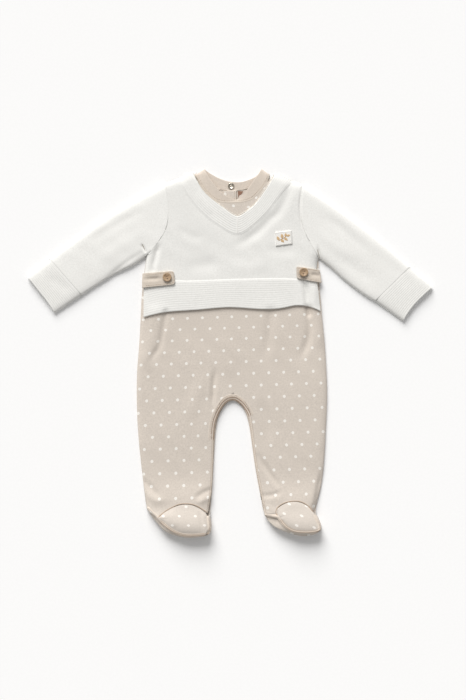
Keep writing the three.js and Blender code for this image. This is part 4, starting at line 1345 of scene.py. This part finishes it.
@dataclass
class Neck:
    """The neckband, a closed ring whose front lies over its back, and the ring snap inside it."""

    band: Panel = field(default_factory=lambda: Panel(
        "neckband", BEIGE, "beige_band", (0.26, 0.0125), None, ("back_body",), 3))
    seam: Line = Line(((-48.2, 252.1), (-45.8, 247.1), (-38.9, 233.1), (-29.4, 221.9), (-18.2, 214.1), (-5.0, 211.7), (7.8, 211.8), (19.0, 212.8), (31.1, 217.4), (41.6, 227.1), (49.3, 237.4), (53.2, 246.0), (53.5, 251.9)))
    back_seam: Line = Line(((-19.5, 231.7), (-14.0, 229.8), (-8.0, 229.1), (0.0, 228.6), (8.0, 228.6), (16.0, 229.2), (25.5, 231.2)))

    def build(self, drape: Drape, ground: Ground) -> None:
        """Builds and dresses the neck.

        Args:
            drape: the garment's folds.
            ground: takes the panels that small pieces lie on.
        """
        ground.add(self.band.build(drape))
        SeamRidge(self.seam.beside(0.7), 3.2, 0.05, 0.1, 1.4).build("neck_seam", BEIGE_TAB, "beige_band", ground)
        SeamRidge(self.back_seam, 2.2, 0.05, 0.1).build("neck_back_seam", BEIGE, "beige_band", ground)
        sew("neck_stitches", [StitchRow(self.seam.beside(-1.9), 2.4, 1.8, 0.4)], BEIGE_THREAD, ground)
        self.snap()

    def snap(self) -> None:
        """Builds the ring snap: a pressed ring, a shaded well and a bright stud."""
        low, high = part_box("neck_snap")
        centre = ((low.x + high.x) / 2 / MM, (low.y + high.y) / 2 / MM)
        base = low.z / MM
        ring = [(3.1, 0.7), (3.3, 1.05), (3.7, 1.2), (4.1, 1.1), (4.45, 0.75), (4.5, 0.3), (4.5, 0.0)]
        well = [(0.4, 0.5), (1.4, 0.45), (3.3, 0.75), (3.35, 0.1)]
        stud = [(0.2, 1.25), (0.9, 1.2), (1.3, 0.95), (1.45, 0.45)]
        piece = show(mesh_of("snap_ring", *turned_part(ring, centre, base)), "snap_ring", SNAP_METAL)
        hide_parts("neck_snap")
        show(mesh_of("snap_well", *turned_part(well, centre, base)), "snap_well", SNAP_DARK)
        show(mesh_of("snap_stud", *turned_part(stud, centre, base)), "snap_stud", SNAP_METAL)


@dataclass
class WaistTab:
    """A padded tab from the side seam, topstitched, held by a wooden button.

    Attributes:
        side: which side it is on.
        cut: its flat width and length in metres.
        outline: where its topstitching runs.
        thread_turn: degrees that the button's thread is turned.
    """

    side: Side
    cut: tuple[float, float]
    outline: Line
    thread_turn: float
    rim_radius: float = 5.45
    dish: float = 0.45
    hole_spread: float = 1.7
    press: float = 0.45

    def pressed(self, places: np.ndarray) -> np.ndarray:
        """Presses the tab down onto the layer below it.

        Args:
            places: points of the tab in millimetres.

        Returns:
            The lowered points.
        """
        return places - np.array([0.0, 0.0, self.press])

    def build(self, drape: Drape, ground: Ground) -> None:
        """Builds and dresses the tab and its button.

        Args:
            drape: the garment's folds.
            ground: takes the tab, for its stitches.
        """
        name = self.side.value
        tab = Panel("tab_" + name, BEIGE_TAB, "beige_band", self.cut, None, ("overlay_front",), 3, grain=Grain.ACROSS,
                    soft_corners=True)
        ground.add(tab.build(drape, self.pressed))
        sew("tab_stitches_" + name, [StitchRow(self.outline, 2.4, 1.9, 0.5)], BEIGE_THREAD, ground)
        self.button(drape)

    def button(self, drape: Drape) -> None:
        """Builds the button: a dished disc with four holes, its rim and its thread.

        Args:
            drape: the garment's folds, which carry the button with the tab.
        """
        name = self.side.value
        node = "button_" + name
        low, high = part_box(node)
        centre = np.array([(low.x + high.x) / 2 / MM, (low.y + high.y) / 2 / MM])
        rise = float(drape.lift(centre[None, :])[0]) - self.press
        disc = bmesh.new()
        disc.from_mesh(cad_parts[node].data)
        bmesh.ops.remove_doubles(disc, verts=disc.verts, dist=2e-6)
        bmesh.ops.dissolve_limit(disc, angle_limit=0.02, verts=disc.verts, edges=disc.edges)
        for vertex in disc.verts:
            reach = math.hypot(vertex.co.x / MM - centre[0], vertex.co.y / MM - centre[1])
            if vertex.co.z > (low.z + high.z) / 2 and reach < 4.2:
                vertex.co.z -= self.dish * MM
            vertex.co.z += rise * MM
        sharp = [edge for edge in disc.edges if len(edge.link_faces) == 2 and edge.calc_face_angle(0.0) > 0.8]
        bmesh.ops.bevel(disc, geom=sharp, offset=0.28 * MM, segments=3, affect="EDGES", profile=0.5)
        mesh = bpy.data.meshes.new("button_disc_" + name)
        disc.to_mesh(mesh)
        disc.free()
        mesh.shade_smooth()
        mesh.set_sharp_from_angle(angle=math.radians(40))
        piece = show(mesh, "button_disc_" + name, BUTTON_WOOD)
        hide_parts(node)
        top = high.z / MM + rise
        rim = [(4.3, -0.35), (4.6, 0.1), (5.1, 0.3), (self.rim_radius, 0.22), (5.85, -0.15), (5.9, -0.6)]
        place = (float(centre[0]), float(centre[1]))
        show(mesh_of("button_rim", *turned_part(rim, place, top)), "button_rim_" + name, BUTTON_WOOD)
        turn = math.radians(self.thread_turn)
        points, faces = [], []
        for aside in (-self.hole_spread, self.hole_spread):
            start = len(points)
            for k in range(9):
                reach = (k / 8 - 0.5) * 2 * (self.hole_spread + 0.25)
                arch = top - self.dish - 0.9 + 1.35 * math.sin(math.pi * k / 8) ** 0.5
                for j in range(8):
                    angle = 2 * math.pi * j / 8
                    x = reach
                    y = aside + 0.42 * math.cos(angle)
                    points.append((
                        place[0] + x * math.cos(turn) - y * math.sin(turn),
                        place[1] + x * math.sin(turn) + y * math.cos(turn),
                        arch + 0.3 * math.sin(angle),
                    ))
            for k in range(8):
                for j in range(8):
                    a, b = start + k * 8 + j, start + k * 8 + (j + 1) % 8
                    faces.append((a, b, b + 8, a + 8))
        show(mesh_of("button_thread", points, faces), "button_thread_" + name, DARK_THREAD)


@dataclass
class Foot:
    """A foot: its domed upper, its sole and the seams between them."""

    side: Side
    upper_cut: tuple[float, float]
    upper_area: float
    sole_cut: tuple[float, float]
    sole_area: float
    dots: PanelPrint
    vamp: Line
    sole_seam: Line
    mouth: Line
    tuck_reach: float = 17.0
    tuck_rise: float = 2.4

    def tucked(self, places: np.ndarray) -> np.ndarray:
        """Draws the sole's rim in to the seam where it meets the upper and the leg.

        Args:
            places: points of the sole in millimetres.

        Returns:
            The moved points.
        """
        run = self.mouth.sampled(1.2)
        away = np.linalg.norm(places[:, None, :2] - run[None, :, :], axis=2)
        nearest = run[away.argmin(axis=1)]
        share = ramp(places[:, 2], 2.4, 4.4) * (1 - ramp(away.min(axis=1), self.tuck_reach - 4, self.tuck_reach))
        drawn = places.copy()
        drawn[:, :2] += (nearest - places[:, :2]) * share[:, None]
        drawn[:, 2] += self.tuck_rise * share
        return drawn

    def build(self, drape: Drape, ground: Ground) -> None:
        """Builds and dresses the foot.

        Args:
            drape: the garment's folds.
            ground: takes the foot's panels, for its seams.
        """
        name = self.side.value
        # The upper takes the darker copy of the dotted jersey, which is painted shade.
        upper = Panel("foot_upper_" + name, DOTTED_FOOT_PAINTED_SHADE, "dotted_jersey", self.upper_cut, self.upper_area,
                      ("foot_sole_" + name,), 3, dots=self.dots)
        sole = Panel("foot_sole_" + name, DOTTED, "dotted_jersey", self.sole_cut, self.sole_area,
                     ("floor",), 3, dots=self.dots)
        ground.add(sole.build(drape, self.tucked))
        ground.add(upper.build(drape))
        # Vamp and sole lines in the darker seam thread: the thread together with painted shade of the seam crevices.
        SeamRidge(self.vamp, 1.4, 0.25).build("vamp_seam_" + name, SHADOW_THREAD, "beige_band", ground)
        ground.add(SeamRidge(self.mouth.beside(-1.0), 5.8, 0.1, 0.3, 2.0).build("sole_seam_" + name, BEIGE, "beige_band", ground))
        SeamRidge(self.sole_seam, 0.9, 0.2).build("sole_thread_" + name, SHADOW_THREAD, "beige_band", ground)
        SeamRidge(self.sole_seam.beside(-2.2), 0.7, 0.1).build("sole_edge_" + name, SHADOW_THREAD, "beige_band", ground)


@dataclass
class ChestPatch:
    """A small woven patch with a stitched sprig of leaves."""

    patch: Panel = field(default_factory=lambda: Panel(
        "chest_patch", PATCH_WEAVE, "patch", (0.023, 0.0205), None, ("overlay_front",), 3))
    centre: Point = (74.5, 160.9)
    turn: float = 6.5
    press: float = 0.35
    stem: tuple[Point, ...] = ((-7.6, -3.4), (-3.5, -1.2), (1.0, 0.4), (5.0, 2.6))
    leaves: tuple[tuple[float, float, float, float, float], ...] = (
        (-6.2, -2.4, 112.0, 6.4, 3.9),
        (-3.6, -1.2, -52.0, 6.2, 3.9),
        (-1.4, -0.3, 92.0, 6.8, 4.1),
        (1.2, 0.4, -44.0, 6.2, 3.8),
        (3.2, 1.5, 80.0, 5.4, 3.3),
        (4.8, 2.5, 8.0, 5.4, 3.3),
    )

    def pressed(self, places: np.ndarray) -> np.ndarray:
        """Presses the patch down onto the cloth that it is sewn to.

        Args:
            places: points of the patch in millimetres.

        Returns:
            The lowered points.
        """
        return places - np.array([0.0, 0.0, self.press])

    def placed(self, x: float, y: float) -> Point:
        """Turns a point of the motif onto the patch.

        Args:
            x: place across the motif in millimetres.
            y: place up the motif in millimetres.

        Returns:
            Its place on the garment.
        """
        turn = math.radians(self.turn)
        return (
            self.centre[0] + x * math.cos(turn) - y * math.sin(turn),
            self.centre[1] + x * math.sin(turn) + y * math.cos(turn),
        )

    def build(self, drape: Drape, ground: Ground) -> None:
        """Builds and dresses the patch.

        Args:
            drape: the garment's folds.
            ground: takes the patch, for its stitching.
        """
        ground.add(self.patch.build(drape, self.pressed))
        corners = [(-10.2, -8.4), (10.2, -8.4), (10.2, 8.4), (-10.2, 8.4), (-10.2, -8.4)]
        edges = [Line((self.placed(*corners[i]), self.placed(*corners[i + 1]))) for i in range(4)]
        sew("patch_stitches", [StitchRow(line, 1.5, 1.15, 0.34) for line in edges], CREAM_THREAD, ground)
        self.sprig(ground)

    def sprig(self, ground: Ground) -> None:
        """Builds the leaves as raised satin stitch, and their stem.

        Args:
            ground: the cloth below.
        """
        points: list[tuple[float, float, float]] = []
        faces: list[tuple[int, ...]] = []
        stations = 9
        for x0, y0, lean, length, width in self.leaves:
            angle = math.radians(lean)
            start = len(points)
            for k in range(stations):
                share = k / (stations - 1)
                half = 0.5 * width * math.sin(math.pi * share**0.8) + 0.05
                for across, lift in ((-1.0, 0.02), (-0.5, 0.34), (0.0, 0.22), (0.5, 0.34), (1.0, 0.02)):
                    out = across * half
                    x = x0 + share * length * math.cos(angle) - out * math.sin(angle)
                    y = y0 + share * length * math.sin(angle) + out * math.cos(angle)
                    place = self.placed(x, y)
                    points.append((place[0], place[1], ground.height(*place) + lift))
            for k in range(stations - 1):
                for j in range(4):
                    a = start + k * 5 + j
                    faces.append((a, a + 5, a + 6, a + 1))
        show(mesh_of("sprig_leaves", points, faces), "sprig_leaves", LEAF_THREAD)
        stem = Line(tuple(self.placed(x, y) for x, y in self.stem))
        SeamRidge(stem, 0.8, 0.4, 0.05).build("sprig_stem", STEM_THREAD, "patch", ground)


@dataclass
class Studio:
    """White paper floor, a soft low light from the neck end, and the camera straight above."""

    centre: Point = (4.2, 4.9)
    view_height: float = 0.98
    lens: float = 85.0
    floor_size: float = 8.0
    key_place: tuple[float, float, float] = (-0.34, 1.28, 0.8)
    key_angle: float = 38.0
    key_power: float = 3.75
    sky: float = 0.37

    def build(self) -> None:
        """Builds the floor, the lights and the camera."""
        half = self.floor_size / 2
        mesh = bpy.data.meshes.new("floor")
        mesh.from_pydata([(-half, -half, -0.0002), (half, -half, -0.0002), (half, half, -0.0002), (-half, half, -0.0002)], [], [(0, 1, 2, 3)])
        mesh.materials.append(WARDROBE.of(PAPER))
        floor = bpy.data.objects.new("floor", mesh)
        bpy.context.scene.collection.objects.link(floor)
        key = bpy.data.lights.new("key_light", "SUN")
        key.angle = math.radians(self.key_angle)
        key.energy = self.key_power
        key.color = (1.0, 0.99, 0.98)
        lamp = bpy.data.objects.new("key_light", key)
        lamp.location = self.key_place
        lamp.rotation_euler = (-Vector(self.key_place)).to_track_quat("-Z", "Y").to_euler()
        bpy.context.scene.collection.objects.link(lamp)
        world = bpy.data.worlds.new("studio")
        world.use_nodes = True
        back = world.node_tree.nodes["Background"]
        back.inputs["Color"].default_value = (1.0, 0.995, 0.985, 1.0)
        back.inputs["Strength"].default_value = self.sky
        bpy.context.scene.world = world
        lens = bpy.data.cameras.new("camera")
        lens.lens = self.lens
        lens.sensor_width = 36.0
        lens.clip_start = 0.05
        lens.clip_end = 50.0
        camera = bpy.data.objects.new("camera", lens)
        distance = self.view_height * self.lens / 36.0
        camera.location = (self.centre[0] * MM, self.centre[1] * MM, distance)
        bpy.context.scene.collection.objects.link(camera)
        bpy.context.scene.camera = camera
        bpy.context.scene.view_settings.view_transform = "Standard"
        bpy.context.scene.view_settings.look = "None"


FOLDS = (
    # Lower body
    Fold(((-105.0, 58.1), (-107.8, 27.3), (-114.8, 2.1), (-121.8, -28.7)), 11.2, 1.3, (1, 0), 0.3),
    Fold(((-88.9, 58.1), (-93.8, 30.1), (-98.0, 10.5), (-105.7, -2.1), (-116.2, -20.3)), 4.8, -1.5, (1, 0), 0.5, 0.3),
    Fold(((-20.4, -17.5), (-23.0, -45.5), (-24.1, -76.3)), 4.5, -2.2, (0, 0.3), 0.7),
    Fold(((109.2, 62.3), (111.4, 32.9), (106.4, 10.5), (96.6, -11.9)), 6.4, -2.1, (1, 0), 0.6),
    Fold(((121.8, 58.1), (125.3, 27.3), (123.2, 2.1)), 5.6, 0.9, (1, 0), 0.2),
    Fold(((57.4, 58.1), (54.6, 27.3), (50.4, -11.9)), 8.4, -1.3, (1, 0)),
    Fold(((-35.0, -25.9), (-47.6, -62.3), (-56.0, -98.7)), 12.6, 1.0),
    Fold(((39.2, -59.5), (50.4, -93.1), (56.0, -129.5)), 9.8, -1.1),
    Fold(((-11.2, 32.9), (-2.8, 2.1), (1.4, -37.1)), 14.0, 0.6, (0.4, 0)),
    # Ankles
    Fold(((-117.6, -179.9), (-109.2, -188.3), (-98.0, -200.9)), 4.8, -1.3, (0.6, 0), 0.6),
    Fold(((-119.0, -193.9), (-103.6, -205.1), (-86.8, -202.3)), 4.8, 1.0, (0.5, 0), 0.3),
    Fold(((-23.8, -189.7), (-36.4, -193.9), (-50.4, -203.7)), 4.5, -1.3, (0.8, 0), 0.6),
    Fold(((-23.8, -199.5), (-37.8, -205.1), (-49.0, -209.3)), 4.2, 0.9, (0.8, 0), 0.3),
    Fold(((40.6, -143.5), (53.2, -164.5), (71.4, -189.7)), 5.0, -1.6, (0.3, 0), 0.8),
    Fold(((43.4, -198.8), (58.8, -197.4), (74.2, -192.5)), 4.2, -1.1, (0.7, 0), 0.6),
    Fold(((47.6, -212.1), (61.6, -217.7), (72.8, -216.3)), 4.2, 0.7, (0.6, 0), 0.3),
    Fold(((47.6, -224.4), (56.0, -225.8), (65.8, -224.7)), 2.5, -1.8, (0.8, 0.3), 0.7),
    Fold(((128.8, -163.1), (122.5, -191.1), (118.3, -216.3)), 4.5, -1.8, (0.2, 0.5), 0.6),
    # Pullover
    Fold(((86.8, 238.7), (70.0, 200.9), (56.0, 186.9), (39.2, 170.1), (18.2, 156.1), (-5.6, 144.9)), 7.8, -1.3, (0.9, 0), 0.5),
    Fold(((28.0, 164.5), (44.8, 144.9), (53.2, 122.5)), 9.8, 0.5),
    Fold(((-98.0, 156.1), (-102.9, 139.3), (-107.8, 116.9)), 4.8, -2.0, (0, 0.5), 0.6),
    Fold(((-112.0, 144.9), (-116.2, 128.1), (-117.6, 114.1)), 4.2, 0.8, (0.3, 0.6), 0.2),
    Fold(((100.8, 108.5), (105.7, 91.7), (107.8, 74.9), (110.6, 55.3)), 4.8, -3.2, (0.4, 0.9), 0.7),
    Fold(((117.6, 97.3), (118.3, 77.7), (119.0, 63.7)), 4.5, 1.1, (0.6, 0.6), 0.2),
    Fold(((-47.6, 228.9), (-35.0, 207.9), (-22.4, 192.5)), 8.4, 0.6),
    Fold(((-64.4, 128.1), (-42.0, 122.5), (-11.2, 128.1)), 11.2, -0.8),
    Fold(((-75.6, 178.5), (-56.0, 164.5), (-33.6, 158.9)), 8.4, -0.6),
    Fold(((44.8, 150.5), (70.0, 142.1), (95.2, 144.9)), 8.4, -0.6),
    Fold(((-2.8, 128.1), (28.0, 119.7), (64.4, 128.1)), 11.2, 0.5),
    Fold(((100.2, 230.3), (97.7, 206.5), (99.7, 184.1), (106.4, 164.5)), 2.4, -1.2, (0.5, 0), 0.5),
    # Sleeves
    Fold(((-124.6, 140.0), (-144.2, 127.4), (-159.6, 115.5), (-176.4, 101.5)), 3.6, -0.7, (0.6, 0), 0.3),
    Fold(((-123.9, 153.3), (-121.1, 147.7), (-118.3, 142.8)), 2.5, -1.5, (0, 0.7), 0.6),
    Fold(((-112.0, 203.7), (-156.8, 181.3), (-204.4, 150.5)), 8.4, -0.6),
    Fold(((-109.2, 175.7), (-151.2, 150.5), (-196.0, 119.7)), 11.2, 0.5),
    Fold(((123.2, 198.1), (162.4, 170.1), (198.8, 136.5)), 8.4, -0.7),
    Fold(((140.0, 142.1), (170.8, 119.7), (207.2, 97.3)), 9.8, -0.5),
    Fold(((120.4, 175.7), (145.6, 150.5), (182.0, 128.1)), 9.8, 0.5),
    Fold(((122.4, 149.1), (124.6, 139.3), (126.7, 129.5)), 2.5, -1.7, (0.3, 0.8), 0.6),
    # Tabs
    Fold(((-117.6, 103.7), (-105.0, 104.3), (-95.2, 105.1)), 3.4, -1.3, (0.6, 0.2), 0.5),
    Fold(((112.0, 110.5), (119.0, 109.3), (126.0, 108.5)), 3.4, -1.3, (0.2, 0.6), 0.5),
    # Toes
    Fold(((-84.0, -217.7), (-79.8, -230.3), (-75.6, -244.3)), 4.2, 0.9, (0.2, 0), 0.5),
    Fold(((-43.4, -216.3), (-40.6, -230.3), (-37.8, -245.7)), 3.6, -0.9, (0.2, 0.4), 0.5),
    Fold(((-257.6, 108.5), (-238.0, 97.3), (-221.2, 83.3)), 8.4, -0.5),
    Fold(((226.8, 128.1), (240.8, 108.5), (254.8, 86.1)), 8.4, -0.4),
)


def main() -> None:
    """Builds every sub-assembly in order and reports it."""
    logging.basicConfig(level=logging.INFO, format="%(name)s: %(message)s")
    drape = Drape(FOLDS)
    ground = Ground()
    log.info("body")
    Body().build(drape, ground)
    log.info("neck")
    Neck().build(drape, ground)
    log.info("feet")
    Foot(
        Side.LEFT, (0.073, 0.044), 0.0024, (0.092, 0.053), 0.0043,
        PanelPrint((-61.2, -213.4), (22.4, 12.7), 0.14),
        Line(((-100.9, -228.9), (-90.4, -219.9), (-79.0, -213.5), (-70.4, -210.0), (-60.5, -209.3), (-50.4, -210.7), (-40.5, -215.7), (-31.4, -221.9))),
        Line(((-97.6, -234.2), (-86.8, -242.8), (-76.2, -249.2), (-65.4, -253.0), (-54.7, -253.5), (-40.5, -252.6), (-32.2, -251.9))),
        Line(((-116.4, -215.0), (-109.5, -222.0), (-101.1, -229.2), (-98.4, -233.2), (-86.6, -243.0), (-76.0, -249.2),
              (-65.2, -253.0), (-54.7, -253.6), (-42.0, -253.0), (-31.0, -252.0), (-28.0, -245.0), (-28.0, -236.0),
              (-30.0, -226.0))),
    ).build(drape, ground)
    Foot(
        Side.RIGHT, (0.059, 0.044), 0.0021, (0.083, 0.051), 0.0037,
        PanelPrint((82.5, -209.6), (23.2, 14.0), 0.35, 0.12),
        Line(((66.9, -227.5), (63.8, -221.1), (66.6, -214.3), (74.8, -208.7), (85.0, -205.9), (95.8, -205.9), (103.6, -208.7), (109.6, -213.2), (116.2, -221.1))),
        Line(((69.2, -231.1), (75.3, -239.0), (83.9, -244.9), (92.1, -247.7), (106.4, -248.6), (119.6, -247.4), (125.4, -244.9))),
        Line(((48.5, -225.5), (56.0, -227.4), (65.5, -228.6), (68.2, -232.0), (74.8, -240.0), (83.4, -246.0),
              (92.0, -248.8), (106.4, -249.8), (119.0, -248.8), (126.2, -245.6), (125.6, -240.0), (121.6, -230.0),
              (117.8, -224.4))),
    ).build(drape, ground)
    log.info("sleeves")
    Sleeve(
        Side.LEFT,
        Line(((-90.3, 235.9), (-86.4, 213.5), (-85.7, 191.1), (-89.3, 170.5), (-99.0, 156.9), (-114.1, 139.6))),
        Line(((-252.6, 130.3), (-232.0, 106.5), (-209.2, 81.1))),
        Grain.LEFT_SLEEVE, 3.0, Line(((-124.0, 154.4), (-121.2, 149.9), (-119.1, 144.3))),
    ).build(drape, ground)
    Sleeve(
        Side.RIGHT,
        Line(((100.5, 234.5), (98.1, 210.0), (99.1, 187.5), (104.7, 166.7), (114.9, 149.9), (122.6, 136.5))),
        Line(((252.0, 118.9), (228.1, 95.5), (204.4, 72.9))),
        Grain.RIGHT_SLEEVE, 2.8, Line(((122.1, 145.5), (123.6, 139.3), (125.2, 132.9))),
    ).build(drape, ground)
    log.info("pullover")
    Pullover().build(drape, ground)
    log.info("tabs")
    WaistTab(
        Side.LEFT, (0.045, 0.0195),
        Line(((-116.2, 94.8), (-98.0, 96.5), (-80.6, 98.4), (-78.7, 100.9), (-79.5, 110.7), (-81.8, 113.3), (-98.0, 111.6), (-116.2, 109.3))),
        14.0,
    ).build(drape, ground)
    WaistTab(
        Side.RIGHT, (0.034, 0.0195),
        Line(((123.2, 101.5), (110.6, 104.0), (96.9, 107.7), (95.5, 109.9), (94.9, 117.2), (96.6, 119.1), (110.6, 117.5), (123.2, 115.5))),
        -20.0,
    ).build(drape, ground)
    log.info("patch")
    ChestPatch().build(drape, ground)
    log.info("studio")
    Studio().build()


if __name__ == "__main__":
    main()
